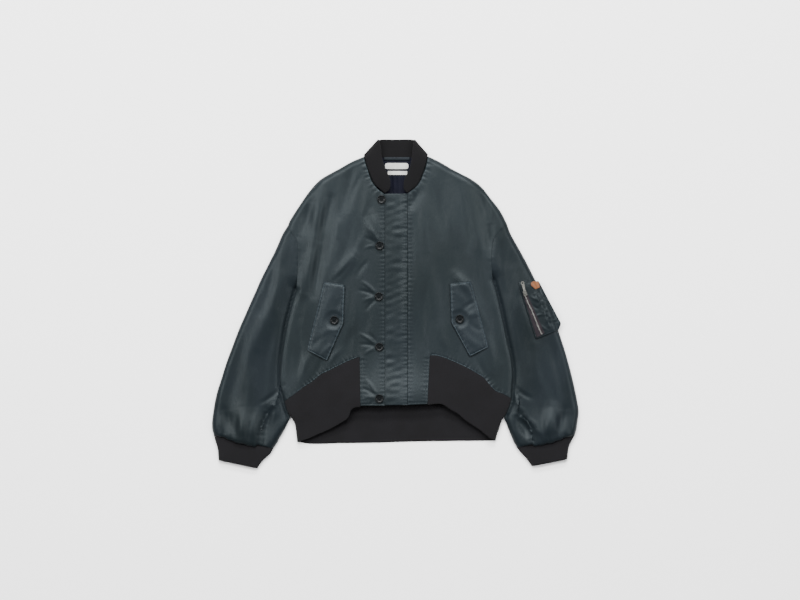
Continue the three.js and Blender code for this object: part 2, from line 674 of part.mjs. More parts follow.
function cuff(side, sleeveSections, cuffSections) {
  const sections = [pastSeam(sleeveSections[sleeveSections.length - 1]), ...cuffSections];
  const edges = [outer(sections), inner(sections)];
  const edge = FOLD_MIDDLE + BLUNT;
  const topAt = (x, y) => {
    const distance = Math.min(distanceTo(edges[0], x, y), distanceTo(edges[1], x, y));
    return edge + (CUFF_CROWN - edge) * arc(distance / CUFF_ROLL);
  };
  return tubeOf(sections, side, RIB, topAt, CUFF_ROLL);
}

// Any piece on the left sleeve: its lower face follows the sleeve's own points
function onSleeve(outline, out, thickness) {
  const face = (extra) => sleeveLeftSections.map((row) => {
    const across = acrossSection(row, left);
    const length = across[across.length - 1];
    const places = [-POCKET_OVERHANG, ...across];
    return places.map((along) => {
      const point = sectionPoint(row, along, length);
      const top = along < 0 ? POCKET_STAND : Math.max(POCKET_STAND, sleeveTop(point.x, point.y, left));
      return [point.x, point.y, top + out + extra];
    });
  });
  return within(wallGrid(face(thickness), face(0)), outline);
}

// Collar: a ribbon between its seam edge and its free edge
function collar() {
  const curve = (keys) => new THREE.CatmullRomCurve3(
    collarSections.map((row) => new THREE.Vector3(...keys.map((key) => row[key]))), false, "centripetal");
  const seam = curve(["bx", "by", "bz"]);
  const free = curve(["tx", "ty", "tz"]);
  const place = (u, v) => {
    const point = seam.getPoint(clamp(u)).lerp(free.getPoint(clamp(u)), v);
    const bow = Math.sin(Math.PI * clamp(v)) * smooth((point.z - 6) / 8);
    point.z += COLLAR.bow * bow;
    return point;
  };
  const step = 1e-3;
  const side = (out) => range(0, 1, COLLAR.steps).map((u) => range(0, 1, COLLAR.across).map((v) => {
    const along = place(u + step, v).sub(place(u - step, v));
    const across = place(u, v + step).sub(place(u, v - step));
    const normal = along.cross(across).normalize();
    return place(u, v).addScaledVector(normal, out * COLLAR_RIB / 2).toArray();
  }));
  return wallGrid(side(1), side(-1));
}

// Buttons: a dished disc with a raised rim, lying on what carries it
function button(x, y, z) {
  const rim = BUTTON_RADIUS;
  const profile = [[0, 0], [rim - 1, 0], [rim, 1.2], [rim - 0.5, BUTTON_HEIGHT - 0.5],
    [rim - 1.6, BUTTON_HEIGHT], [rim - 3, BUTTON_HEIGHT - 1], [0, BUTTON_HEIGHT - 1.2]];
  const points = profile.map(([radius, height]) => new THREE.Vector2(radius, height));
  const disc = toGeometry(toManifold(new THREE.LatheGeometry(points, BUTTON_SIDES)));
  disc.rotateX(Math.PI / 2);
  disc.translate(x, y, z);
  return disc;
}

// The highest point under a button
function seatUnder(x, y, surface) {
  const around = range(0, 2 * Math.PI, 16).map((angle) => (
    surface(x + BUTTON_RADIUS * Math.cos(angle), y + BUTTON_RADIUS * Math.sin(angle))));
  return Math.max(surface(x, y), ...around) + GAP + 0.2;
}

// Zip slider with its bridge, and the pull that swings on the bridge

function box(width, length, height, x, y, z) {
  const block = new THREE.BoxGeometry(width, length, height);
  block.translate(x, y, z + height / 2);
  return toManifold(block);
}

function slider() {
  const { width, length, height } = SLIDER;
  const body = box(width, length, height, 0, 0, 0);
  const leg = (y) => box(BRIDGE.width, BRIDGE.leg, BRIDGE.clear + BRIDGE.thick, 0, y, height);
  const legPlace = (BRIDGE.span - BRIDGE.leg) / 2;
  const crownBar = box(BRIDGE.width, BRIDGE.span, BRIDGE.thick, 0, 0, height + BRIDGE.clear);
  return toGeometry(body.add(leg(legPlace)).add(leg(-legPlace)).add(crownBar));
}

function pull() {
  const half = PULL.width / 2;
  const shape = new THREE.Shape();
  shape.moveTo(-half * 0.7, -PULL.eyeStart);
  shape.lineTo(half * 0.7, -PULL.eyeStart);
  shape.lineTo(half * 0.7, PULL.eyeEnd + 1);
  shape.absarc(0, PULL.length - half, half, -0.6, Math.PI + 0.6, false);
  shape.lineTo(-half * 0.7, PULL.eyeEnd + 1);
  shape.closePath();
  const eye = new THREE.Path();
  const eyeHalf = PULL.eyeWidth / 2;
  eye.moveTo(-eyeHalf, PULL.eyeStart);
  eye.lineTo(-eyeHalf, PULL.eyeEnd);
  eye.lineTo(eyeHalf, PULL.eyeEnd);
  eye.lineTo(eyeHalf, PULL.eyeStart);
  eye.closePath();
  const ringHole = new THREE.Path();
  ringHole.absarc(0, PULL.length - half, half - 1.5, 0, 2 * Math.PI, true);
  shape.holes.push(eye, ringHole);
  const settings = { depth: PULL.thick, bevelEnabled: false, curveSegments: 8 };
  const plate = new THREE.ExtrudeGeometry(shape, settings);
  plate.translate(0, 0, -PULL.thick / 2);
  return toGeometry(toManifold(plate));
}

// Colours and finishes
const finish = (color, roughness, metalness = 0) => () => (
  new THREE.MeshStandardMaterial({ color, roughness, metalness }));
const nylon = finish(0x41494d, 0.5);
const rib = finish(0x29282b, 0.95);
const lining = finish(0x1d1f2e, 0.7);
const label = finish(0xe8e8e6, 0.8);
const leather = finish(0xa27656, 0.6);
const resin = finish(0x17191c, 0.2);
const tape = finish(0x5a4a3c, 0.9);
const steel = finish(0xb4b4b0, 0.3, 1);

// The jacket

const jacket = new THREE.Group();
jacket.name = "bomber_jacket";

function piece(name, geometry, material, parent = jacket) {
  const mesh = new THREE.Mesh(geometry, material());
  mesh.name = name;
  parent.add(mesh);
  return mesh;
}

piece("back_panel", backPanel(), nylon);
piece("front_right", front(frontRightOutline), nylon);
piece("front_left", front(frontLeftOutline), nylon);
piece("button_band", buttonBand(), nylon);
piece("sleeve_right", sleeve(right, sleeveRightSections, armholeRight), nylon);
piece("sleeve_left", sleeve(left, sleeveLeftSections, armholeLeft), nylon);
piece("cuff_right", cuff(right, sleeveRightSections, cuffRightSections), rib);
piece("cuff_left", cuff(left, sleeveLeftSections, cuffLeftSections), rib);
piece("hem_rib_right", hemRibFront("right"), rib);
piece("hem_rib_left", hemRibFront("left"), rib);
piece("hem_rib_back", hemRibBack(), rib);
piece("collar", collar(), rib);

piece("pocket_flap_right", onFront(flapRight, GAP, FLAP), nylon);
piece("pocket_flap_left", onFront(flapLeft, GAP, FLAP), nylon);
frontButtons.forEach(({ x, y }, i) => {
  piece(`front_button_${i + 1}`, button(x, y, seatUnder(x, y, bodyTop)), resin);
});
const flapTop = (x, y) => bodyTop(x, y) + GAP + FLAP;
Object.entries(flapButtons).forEach(([side, { x, y }]) => {
  piece(`flap_button_${side}`, button(x, y, seatUnder(x, y, flapTop)), resin);
});

piece("back_lining", onBack(backLining, GAP, LINING), lining);
const onLining = 2 * GAP + LINING;
piece("neck_label", onBack(rounded(neckLabel), onLining, LABEL), label);
piece("size_label", onBack(rounded(sizeLabel), onLining, LABEL), label);
piece("hang_loop", onBack(rounded(hangLoop), onLining, LABEL), nylon);

piece("sleeve_pocket", onSleeve(sleevePocket, GAP, POCKET), nylon);
piece("zip_tape", onSleeve(zipTape, 2 * GAP + POCKET, LINING), tape);
piece("leather_tab", onSleeve(leatherTab, 2 * GAP + POCKET, LINING + 0.6), leather);

const tapeTop = Math.max(POCKET_STAND, sleeveTop(SLIDER.x, SLIDER.y, left)) + 3 * GAP + POCKET + LINING;
const zip = new THREE.Group();
zip.position.set(SLIDER.x, SLIDER.y, tapeTop + GAP);
jacket.add(zip);
piece("zip_slider", slider(), steel, zip).rotation.z = SLIDER.turn;
const swing = piece("zip_pull", pull(), steel, zip);
swing.position.z = SLIDER.height + PULL_OVER_SLIDER;
swing.rotation.order = "ZXY";
swing.rotation.z = PULL.turn;
swing.rotation.x = -PULL_TILT;

export default jacket;
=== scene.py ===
# Bomber jacket, buttoned and laid flat on its back: its cloth, sewing, trim and finishes.
# Lengths are in millimetres until a mesh is made. X runs to the wearer's left, Y to the collar, Z up.
import math
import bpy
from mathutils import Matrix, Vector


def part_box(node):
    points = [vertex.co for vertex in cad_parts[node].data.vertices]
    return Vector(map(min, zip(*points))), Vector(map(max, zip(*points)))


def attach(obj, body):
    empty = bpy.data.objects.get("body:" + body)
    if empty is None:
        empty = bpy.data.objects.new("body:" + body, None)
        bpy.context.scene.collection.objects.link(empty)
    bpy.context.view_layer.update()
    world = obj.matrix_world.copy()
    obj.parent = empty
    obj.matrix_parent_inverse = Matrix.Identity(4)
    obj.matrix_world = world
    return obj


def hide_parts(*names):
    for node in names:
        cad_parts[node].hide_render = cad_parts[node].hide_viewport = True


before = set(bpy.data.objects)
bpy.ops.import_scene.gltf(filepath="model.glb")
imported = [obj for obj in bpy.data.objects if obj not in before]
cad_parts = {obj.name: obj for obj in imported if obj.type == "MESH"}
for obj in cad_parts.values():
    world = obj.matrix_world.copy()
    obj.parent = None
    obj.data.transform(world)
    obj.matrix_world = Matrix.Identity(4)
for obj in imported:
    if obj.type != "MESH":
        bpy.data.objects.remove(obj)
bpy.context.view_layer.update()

from types import SimpleNamespace

import bmesh
import bpy
import numpy as np
from mathutils import Matrix, Vector
from mathutils.geometry import delaunay_2d_cdt

MM = 0.001

# Thickness of each cloth
SHELL = 2.0
RIB = 2.8
COLLAR_RIB = 3.0
LINING = 1.2
LABEL = 1.0
LEATHER = 1.8
FLAP = 2.4
POCKET = 3.0
VISIBLE_SHELL = 1.7  # the shell's wall without the space kept to its neighbours
LEAST_WALL = 0.6
ON_EDGE = 0.02  # a point nearer to a line than this is taken to lie on it

# How the layers lie
GAP = 0.3
SEAM = GAP / 2
CROWN = 15
FOLD_MIDDLE = 4
ROLL = 13
UNDER_ROLL = 6
SLEEVE_UNDER_BODY = 6.4
PRESSED_REACH = 34
LIFT = 7.2
LIFT_REACH = 34
LIFT_MARGIN = 6
COVER_MARGIN = 5
CUFF_CROWN = 12
CUFF_ROLL = 8
OVERHANG = 6  # how far the gathered sleeve hangs over its cuff

# Where the body lies on a sleeve and where it presses it: from how far above the armpit, and how far down
ON_SLEEVE = SimpleNamespace(above=48, fade=28, foot=-278, foot_fade=28)
PRESSED = SimpleNamespace(above=84, fade=80, foot=-290, foot_fade=20)

# Knit and sewing
WALE = 3.2  # pitch of the rib's ridges
WALE_HEIGHT = 0.45
POINTS_PER_WALE = 4
COLLAR_LENGTH = 350  # sets how many ridges the collar has
STITCH = SimpleNamespace(pitch=3.2, length=2.5, radius=0.3)
TURN = 1.2  # how far a turned edge rolls down
SEAM_ROLL = 0.3  # how far cloth rolls into a seam
EDGE_FADE = 6  # sewing fades out this far from the body's rolled edge
EDGE_ROW = 2.6  # from a turned edge to its row of stitches
TAB_ROW = 4.0
RIB_ROW = 1.9
NECK_ROW = 1.7
FLAP_ROW = 3.2
FLAP_STAND = 1.6  # how far a flap's free edge stands off
TUCK_HEIGHT = 3.6
TUCK_REACH = 16

# The cloth's unevenness: ripples as (length, height), and the gains of its creases and folds
RIPPLES = ((95, 1.1), (40, 0.3), (13, 0.08))
RIPPLE_SEED = 7
RIPPLE_WAVES = 14
CREASE_GAIN = 1.2
FOLD_SHARE = 0.45


def line(*points):
    return np.array(points, float)


# Lines of the garment, as they lie, from the neck down
SHOULDER_RIGHT = line(
    (-68.6, 323.2), (-95.5, 312.2), (-121.4, 297.4), (-143.9, 285.3), (-165.9, 271.7),
    (-187.9, 248.2), (-209.9, 216.7), (-231.7, 182.4), (-235.8, 172.3))
ARMHOLE_RIGHT = line(
    (-235.8, 172.3), (-225.9, 153.8), (-214.5, 137), (-212.6, 118), (-214.3, 70.2), (-217, 30.6))
SIDE_RIGHT = line(
    (-217, 30.6), (-230.1, -15.2), (-238.7, -52.4), (-245.7, -95.3), (-250.1, -129.6),
    (-251.7, -163.9), (-250.1, -183.9), (-245.7, -198.2), (-242.4, -212.5), (-239.6, -224),
    (-233, -241.1), (-223.1, -255.4), (-219.6, -266.9), (-217.1, -286.9), (-215, -308))
SHOULDER_LEFT = line(
    (70.8, 324.3), (98.1, 311.1), (120.1, 298.1), (142.1, 286.4), (164.1, 275),
    (187, 258.3), (208.1, 232.3), (230.1, 203.7), (244.2, 176.7))
ARMHOLE_LEFT = line(
    (244.2, 176.7), (233, 165.4), (222.9, 153.8), (214.8, 141), (211, 118.6), (209.7, 89.3), (213.4, 51))
SIDE_LEFT = line(
    (213.4, 51), (219.8, 30.6), (228.6, -4.6), (237.4, -48.6), (244.9, -83.8), (250.6, -107.4),
    (255, -133.8), (256.5, -160.2), (254.3, -189.4), (253.7, -204.2), (249.3, -221.8),
    (241.8, -239.4), (233, -255.4), (227.3, -274.6), (222.9, -286.2), (218, -308))
NECK_RIGHT = line(
    (-68.6, 323.2), (-66.4, 310.2), (-62, 297.9), (-57.6, 284), (-52.8, 270.4),
    (-45.3, 259.2), (-37.8, 251), (-30.4, 245.5), (-24, 240.5))
NECK_LEFT = line(
    (71.1, 324), (68.9, 309.1), (65.8, 296.6), (60.7, 284), (55.7, 271.7),
    (49.5, 261.1), (43.1, 254.1), (33.2, 246.6), (27.1, 241.8))
BACK_NECK = SimpleNamespace(y=318, rise=5.2, half=69)

FRONT_EDGE_X = -23
BAND = SimpleNamespace(under=-50, seam=26.6, top=241.5, bottom=-221.5, drop=SHELL + GAP, ramp_start=6)
BAND_SEAM = line((BAND.seam, BAND.top), (BAND.seam, BAND.bottom))
TAB = SimpleNamespace(right=-76.3, left=70.2, bottom=-222.4, bottom_left=-218.7)

RIB_SEAM_RIGHT = line(
    (-78.5, -115.9), (-104.3, -125.4), (-124.3, -135.3), (-144.3, -145.4), (-164.3, -155.3),
    (-181.5, -169.6), (-201.5, -182.6), (-221.5, -198.2), (-242.3, -212.5))
RIB_SEAM_LEFT = line(
    (75.5, -113.1), (87.8, -113.1), (105.4, -117.5), (120.1, -123.4), (140.6, -132.2),
    (164.1, -143.9), (181.7, -154.2), (193.4, -161.5), (205.3, -176.2), (219.8, -191),
    (234.5, -196.7), (253.1, -206.4))
RIB_HEM_RIGHT = line(
    (-76.3, -224.6), (-90, -226.8), (-97, -232.5), (-99.9, -241.1), (-104.3, -249.7),
    (-121.4, -261.1), (-144.3, -274.1), (-167.2, -284), (-190.1, -294.1), (-215.4, -302.4))
RIB_HEM_LEFT = line(
    (70.2, -220.2), (101, -218.7), (120.1, -230.6), (137.7, -240.7), (152.5, -253.9),
    (170.1, -265.8), (187.7, -277.4), (205.3, -292.2), (219.9, -299.5))
BACK_HEM = line(
    (-215.2, -302.7), (-187.2, -306.9), (-121.9, -305.6), (-33.9, -304.5),
    (10.1, -302.7), (98.1, -301), (219.9, -299.9))
BACK_RIB_TOP = -207

# Sleeve sections, outer edge and inner edge, from the armhole to the cuff seam
SLEEVE_RIGHT = line(
    (-222, 197, -196, 186), (-235.8, 172.3, -196, 160), (-247.3, 153.8, -196, 138),
    (-262.7, 118.6, -196, 100), (-280.3, 83.4, -200, 62), (-296, 52, -216.4, 30.2), (-305, 31, -215, 8),
    (-313.3, 13, -214, -14), (-328.7, -22.2, -214, -52), (-344.1, -57.4, -215.5, -90),
    (-357.3, -92.6, -217.5, -128), (-370.5, -127.8, -220, -164), (-381.5, -163, -223, -200),
    (-392.5, -198.2, -227, -236), (-399.1, -233.4, -238, -266), (-402.4, -262, -252, -291),
    (-401.5, -276, -259, -304), (-398.5, -287, -267, -316))
SLEEVE_LEFT = line(
    (230.1, 203.7, 196, 190), (244.2, 176.7, 196, 162), (252.1, 155.3, 196, 138), (274.1, 115.7, 196, 96),
    (288, 90, 200, 72), (302, 62, 213.2, 50.4), (313, 41, 213.5, 22), (324, 20, 214, -8),
    (341.7, -13.4, 216, -50), (357.1, -57.4, 220, -90), (370, -96, 223.5, -128), (381, -134, 227, -164),
    (390.5, -172, 230.5, -200), (398.5, -210, 236, -240), (402.2, -236, 243, -262),
    (399.5, -259, 254, -290), (397, -276, 260, -304), (393, -288, 266, -314))
CUFF_RIGHT = line(
    (-394, -303, -274, -328), (-389.6, -318.3, -284, -337),
    (-388.7, -332, -294, -347), (-387.5, -342.5, -302.6, -360.4))
CUFF_LEFT = line(
    (386, -301, 274.1, -325), (380.5, -313, 284.5, -336),
    (378.5, -327, 293.3, -347), (376.9, -340.6, 299.6, -355.7))

# Rises of the whole surface: x, y, reach in x, reach in y, height
BULGES = line(
    (0, -215, 130, 60, 13), (0, 120, 170, 150, 2.5), (-335, -282, 60, 38, 7), (340, -276, 60, 38, 7))

# The largest folds: from, to, half width, height (negative for a trough), bow
FOLDS = line(
    (-161, 259, -175, 141, 13, 3, 0), (-175, 141, -197, 26, 13, 3.4, 0),
    (-144, 229, -161, 141, 10, -3, 0), (-161, 141, -179, 20, 10, -3, 0),
    (-93, 294, -122, 193, 11, -2.4, 0), (-51, 196, -38, 149, 11, 2.2, 0),
    (-89, 108, -126, 60, 11, 2.4, 0), (-186, 220, -206, 150, 12, -3, 0), (186, 250, 204, 177, 12, -3, 0),
    (204, 177, 209, 118, 11, -2.6, 0), (51, 246, 29, 205, 9, -2, 0), (131, 66, 160, 30, 10, 2.2, 0),
    (-291, -299, -276, -236, 12, -6, 0), (297, -292, 272, -248, 12, -6, 0),
    (-330, -290, -338, -225, 12, 3, 0), (330, -288, 345, -225, 12, 3, 0),
    (-250, 60, -300, -90, 16, 2.6, 0), (255, 70, 300, -80, 16, 2.4, 0),
    (-360, -285, -368, -235, 11, -3, 0), (362, -280, 370, -235, 11, -3, 0), (-40, 136, -66, 180, 9, 2, 0))

# Finer creases in the same columns
CREASES = line(
    (-76, 281, -103, 205, 6, -1.3, 4), (-60, 262, -74, 190, 7, 1.1, -3),
    (-110, 262, -128, 150, 9, 1.3, 3), (-98, 190, -118, 96, 9, -1.1, -5),
    (-132, 200, -150, 92, 8, -1.1, 2), (-70, 150, -92, 92, 7, 1.0, 2), (-62, 92, -84, 62, 5, -1.0, 2),
    (-95, 96, -132, 52, 5, -1.2, -2), (-200, 100, -208, -20, 7, 1.2, 3), (-188, 10, -205, -90, 9, 1.0, 4),
    (-208, -60, -214, -150, 8, -1.2, -3), (-178, -98, -208, -168, 8, 1.3, 4),
    (-160, -120, -196, -180, 7, -1.0, -4), (-120, -100, -146, -132, 6, 0.9, 2),
    (-95, -60, -104, -108, 7, -0.9, 2), (-86, 20, -92, -60, 9, 0.9, -3), (-62, -30, -66, -80, 7, -0.8, 2),
    (60, 230, 66, 120, 9, 1.0, 2), (86, 262, 100, 150, 10, -1.1, -3), (112, 262, 128, 130, 10, 1.2, 3),
    (140, 262, 158, 120, 9, -1.0, -4), (168, 240, 186, 120, 9, 1.4, 3), (176, 110, 192, 10, 8, -1.0, 3),
    (74, 110, 84, -20, 10, 0.9, 3), (98, 90, 108, -30, 9, -0.9, -2), (60, 20, 62, -90, 8, -0.7, 2),
    (196, -60, 214, -150, 8, 1.1, -4), (176, -110, 206, -168, 7, -1.1, 3),
    (214, -20, 232, -120, 9, -1.0, 4), (96, -40, 108, -96, 8, 0.9, 2), (36, 190, 40, 60, 6, -0.7, 2),
    (160, 48, 200, -50, 7, 1.0, 3), (-240, 128, -262, 20, 10, 1.2, 4), (-262, 92, -292, -20, 9, -1.2, -3),
    (-300, -40, -328, -170, 14, 1.6, 4), (-338, -90, -362, -210, 13, -1.4, -4),
    (-270, -60, -292, -190, 14, -1.5, 4), (-246, -20, -262, -120, 9, 1.1, 2),
    (-312, -150, -322, -250, 10, 1.4, 3), (-376, -180, -384, -260, 8, 1.1, 2),
    (-246, -178, -292, -216, 5, -1.6, -3), (-252, -192, -284, -236, 5, 1.2, -3),
    (-262, -236, -284, -292, 6, 1.6, 3), (-302, -236, -310, -296, 8, 2.0, 3),
    (-345, -240, -350, -290, 7, -1.6, 2), (-378, -240, -380, -284, 6, 1.2, 2),
    (-320, -262, -322, -300, 6, -1.4, 2), (232, 130, 246, 20, 9, -1.2, 3),
    (262, 118, 282, 30, 9, 1.1, -3), (246, 10, 262, -110, 10, 1.3, -4),
    (270, -20, 292, -150, 11, -1.3, 3), (300, -90, 330, -210, 13, 1.5, 4),
    (338, -80, 366, -190, 11, -1.3, -4), (372, -120, 388, -230, 9, 1.2, 3),
    (262, -180, 296, -206, 5, -1.6, 3), (258, -196, 278, -232, 5, 1.4, 3),
    (282, -236, 302, -262, 6, 1.6, 4), (318, -230, 322, -290, 8, -1.5, 2),
    (350, -236, 352, -290, 8, 1.5, 2), (376, -236, 374, -286, 6, 1.1, 2),
    (306, -262, 318, -286, 5, 1.2, 2))

# Creases of the flaps and the sleeve pocket in the same columns
FLAP_CREASES = line(
    (-128, -50, -168, -76, 7, 1.3, 3), (-145, -58, -184, -96, 7, -1.1, 2),
    (-136, 28, -156, -24, 9, 0.9, 2), (-120, 10, -128, -14, 6, -0.7, 1),
    (-134, -88, -160, -110, 6, 1.0, 2), (-118, -60, -136, -92, 6, -0.8, -2),
    (146, -14, 178, 6, 5, -1.3, -3), (150, -26, 186, -14, 8, 1.5, 3), (148, -62, 182, -92, 8, 1.2, 3),
    (132, -50, 152, -84, 6, -0.9, 2), (132, 32, 150, 6, 8, 0.8, 2), (160, -40, 190, -60, 6, -0.8, 2))
POCKET_CREASES = line(
    (296, 17, 311, 8, 2.4, 1.0, 1), (300, -3, 313, -11, 2.4, -0.9, 1), (306, -28, 320, -23, 2.6, 1.0, -1),
    (318, -47, 332, -57, 2.6, 0.9, 1), (314, 5, 334, 8, 2.0, 1.0, 0), (304, 26, 316, 0, 2.6, 0.8, 1),
    (330, -22, 344, -30, 2.4, 0.9, 1))

# Creases where the front edge pulls at a button: its row in FRONT_BUTTONS, degrees, length, height
PULLS = line(
    (1, 118, 34, 1.1), (1, 150, 26, -0.9), (1, 188, 24, 0.8), (2, 138, 40, 1.5), (2, 162, 36, -1.3),
    (2, 196, 26, 1.0), (2, 226, 32, -1.2), (3, 128, 30, -0.9), (3, 146, 42, 1.5), (3, 172, 34, -1.2),
    (3, 205, 26, 0.9), (4, 126, 44, 1.4), (4, 148, 36, -1.2), (4, 176, 26, 1.0), (4, 214, 20, -0.7))
PULL_WIDTH = 3.2

# Puckers beside a seam or a row of stitches: pitch, reach, height, phase
PUCKERS = {
    "rib_seam": (8, 7, 0.8, 0.4),
    "rib_seam_knit": (10, 9, 0.4, 0.4),
    "neck": (12, 10, 0.5, 1.1),
    "armhole": (18, 10, 0.14, 2.0),
    "sleeve_armhole": (17, 9, 0.14, 1.4),
    "sleeve_tuck": (11, 8, 0.35, 0.5),
    "cuff_seam": (15, 12, 0.8, 0.6),
    "band_seam": (8, 10, 0.6, 0.3),
    "front_row": (9, 8, 0.5, 0),
    "flap_edge": (11, 8, 0.4, 0.9),
    "pocket_edge": (19, 8, 0.25, 1.9),
    "pen_edge": (15, 8, 0.4, 0),
}

# Where each sleeve's gathered cloth tucks under: the right one from the cuff up, the left one down to it
TUCKS = {
    "right": line(
        (-294.6, -303), (-292.4, -270.8), (-283.1, -244.4), (-257.2, -207), (-251.7, -176.2)),
    "left": line(
        (256.5, -185), (271.9, -211.4), (267.5, -240), (289.5, -257.6), (298.3, -277.4), (301.5, -303)),
}

# Trim
FLAP_RIGHT = line(
    (-157.1, 49.3), (-112, 42.7), (-109.8, 37.2), (-112.9, -42.5), (-149.2, -125.4), (-194.9, -101.6))
FLAP_LEFT = line((118.6, 45.3), (166.3, 50.4), (204.8, -94.8), (162.6, -116.2), (121.7, -41.4))
FRONT_BUTTONS = line((-30.4, 228.6), (-34.1, 127.4), (-36.1, 16.3), (-35, -93.9), (-34.8, -206.1))
FLAP_BUTTONS = {"right": (-133.5, -35.4), "left": (140.6, -32.6)}
SLEEVE_POCKET = line((267.5, 47.5), (313.7, 50.4), (363.2, -43.3), (357.1, -57), (306.7, -78.1))
POCKET_STAND = 11
ZIP_TAPE = line((278.6, 20.8), (287, 24), (300, -6), (326, -64), (309, -73.5))
ZIP_LINE = line((284, 17), (290.5, 1), (297.5, -13), (305, -31), (311, -47), (319.5, -66))
PEN_EDGES = (
    line((306.7, 26.4), (328.2, -15.6), (341, -55)),
    line((318, 34), (340, -10), (352, -42)))
LEATHER_TAB = line(
    (296.1, 46), (300.5, 49.3), (312.8, 50.4), (316.4, 36.3), (305.8, 32.1), (296.1, 40.5))
BACK_LINING = line(
    (2, 319.2), (-50, 321.6), (-54, 290), (-44, 262), (-30, 236), (30, 236), (46, 262), (57, 290),
    (54, 321.6))
PLEAT = SimpleNamespace(x=-1, width=5, height=1.6)
HANG_LOOP = SimpleNamespace(left=-25, right=31, bottom=314.4, top=322, round=1)
NECK_LABEL = SimpleNamespace(left=-22.9, right=28.6, bottom=295.6, top=308.9, round=6.5)
SIZE_LABEL = SimpleNamespace(left=-16.7, right=26, bottom=282.9, top=291.4, round=1)

# Collar sections: the seam edge and the free edge, from the right front end to the left
COLLAR = line(
    (-23.2, 243.8, 15.5, -20.4, 245.2, 15.8), (-28.2, 248, 15.6, -12.6, 252, 17.5),
    (-43.4, 262, 15.4, -12, 273, 19), (-54.8, 285, 15, -22, 295, 19.2),
    (-63, 309, 14.2, -29.5, 322, 18), (-65.6, 318.5, 13, -32, 344, 15.5),
    (-68.2, 326, 8, -36.4, 360, 9), (-63.5, 326.4, 3.2, -36.6, 359.4, 4),
    (-52, 322.4, 1.8, -30, 360.8, 2), (0, 319.6, 1.8, 2, 360.8, 1.8),
    (54, 322.4, 1.8, 34, 361, 2), (65.6, 327, 3.2, 41.2, 359.6, 4),
    (70.4, 327, 8, 41, 359.6, 9), (68, 319, 13, 38, 344, 15.5),
    (65.8, 309, 14.2, 36, 322, 18), (58, 285, 15, 31, 295, 19.2),
    (47.6, 262, 15.4, 19.8, 273, 19), (31.6, 248.4, 15.6, 18.6, 252, 17.5),
    (26.6, 244.6, 15.5, 23.6, 245.8, 15.8))
COLLAR_BOW = 2

BUTTON = SimpleNamespace(radius=9.3, height=3.4, hole=1.1, hole_place=2.0, sides=64)
TOOTH = SimpleNamespace(count=64, half=(1.0, 0.42, 0.6), offset=0.5, tip=0.8, middle=0.55)


# Numbers and lines

def clamp(t):
    return np.clip(t, 0.0, 1.0)


def smooth(t):
    t = clamp(t)
    return t * t * (3 - 2 * t)


def arc(t):
    return np.sqrt(np.maximum(0.0, 1 - (1 - clamp(t)) ** 2))


def beyond(distance, start, fade):
    """0 up to the start, then rising to 1 over the fade"""
    return smooth((distance - start) / fade)


def mix(a, b, t):
    return a + (b - a) * t


def closed(outline):
    return np.vstack([outline, outline[:1]])


def unit(rows):
    return rows / np.maximum(np.linalg.norm(rows, axis=1, keepdims=True), 1e-12)


def turned_left(ways):
    return np.column_stack([-ways[:, 1], ways[:, 0]])


def direction(degrees):
    return np.array([math.cos(math.radians(degrees)), math.sin(math.radians(degrees))])


def run_along(route):
    """Distance run along a route at each of its points"""
    return np.concatenate([[0], np.cumsum(np.linalg.norm(np.diff(route, axis=0), axis=1))])


def to_stretch(x, y, a, b):
    """Share along the stretch from a to b, and the signed and whole distances to it"""
    along = b - a
    length = math.hypot(*along)
    share = ((x - a[0]) * along[0] + (y - a[1]) * along[1]) / length**2
    across = ((x - a[0]) * along[1] - (y - a[1]) * along[0]) / length
    near = clamp(share)
    return share, across, np.hypot(x - mix(a[0], b[0], near), y - mix(a[1], b[1], near))


def distance_to(route, x, y):
    nearest = np.full(np.shape(x), np.inf)
    for a, b in zip(route[:-1], route[1:]):
        nearest = np.minimum(nearest, to_stretch(x, y, a, b)[2])
    return nearest


def along_route(route, x, y):
    """Distance run along a route to the point nearest to x, y, and the distance to it"""
    nearest = np.full(np.shape(x), np.inf)
    run = np.zeros(np.shape(x))
    start = 0.0
    for a, b in zip(route[:-1], route[1:]):
        share, _, distance = to_stretch(x, y, a, b)
        length = math.hypot(*(b - a))
        run = np.where(distance < nearest, start + clamp(share) * length, run)
        nearest = np.minimum(nearest, distance)
        start += length
    return run, nearest


def at_runs(route, run, places):
    """Points of a route at places along its run"""
    return np.column_stack([np.interp(places, run, column) for column in route.T])


def x_at(route, y):
    """x of a route that runs down in y"""
    return np.interp(-y, -route[:, 1], route[:, 0])


def through(points, t):
    """Places on a smooth curve through the points, t from 0 to 1 with the same share for each stretch"""
    last = len(points) - 1
    place = clamp(np.asarray(t, float)) * last
    i = np.clip(place.astype(int), 0, last - 1)
    w = (place - i)[:, None]
    extended = np.vstack([2 * points[0] - points[1], points, 2 * points[-1] - points[-2]])
    p0, p1, p2, p3 = (extended[i + k] for k in range(4))

    def root(a, b):
        return np.maximum(np.sqrt(np.linalg.norm(b - a, axis=1, keepdims=True)), 1e-4)

    d0, d1, d2 = root(p0, p1), root(p1, p2), root(p2, p3)
    t1 = ((p1 - p0) / d0 - (p2 - p0) / (d0 + d1) + (p2 - p1) / d1) * d1
    t2 = ((p2 - p1) / d1 - (p3 - p1) / (d1 + d2) + (p3 - p2) / d2) * d1
    return (((2 * p1 - 2 * p2 + t1 + t2) * w + (-3 * p1 + 3 * p2 - 2 * t1 - t2)) * w + t1) * w + p1


CURVE_STEPS = 3


def curved(points, steps=CURVE_STEPS):
    """The line with its corners eased: more points on a smooth curve through them"""
    return through(points, np.linspace(0, 1, (len(points) - 1) * steps + 1))


def resample(route, step):
    """Points about a step apart that keep the route's corners"""
    made = []
    for a, b in zip(route[:-1], route[1:]):
        count = max(1, round(math.hypot(*(b - a)) / step))
        made.extend(mix(a, b, k / count) for k in range(count))
    return np.array([*made, route[-1]])


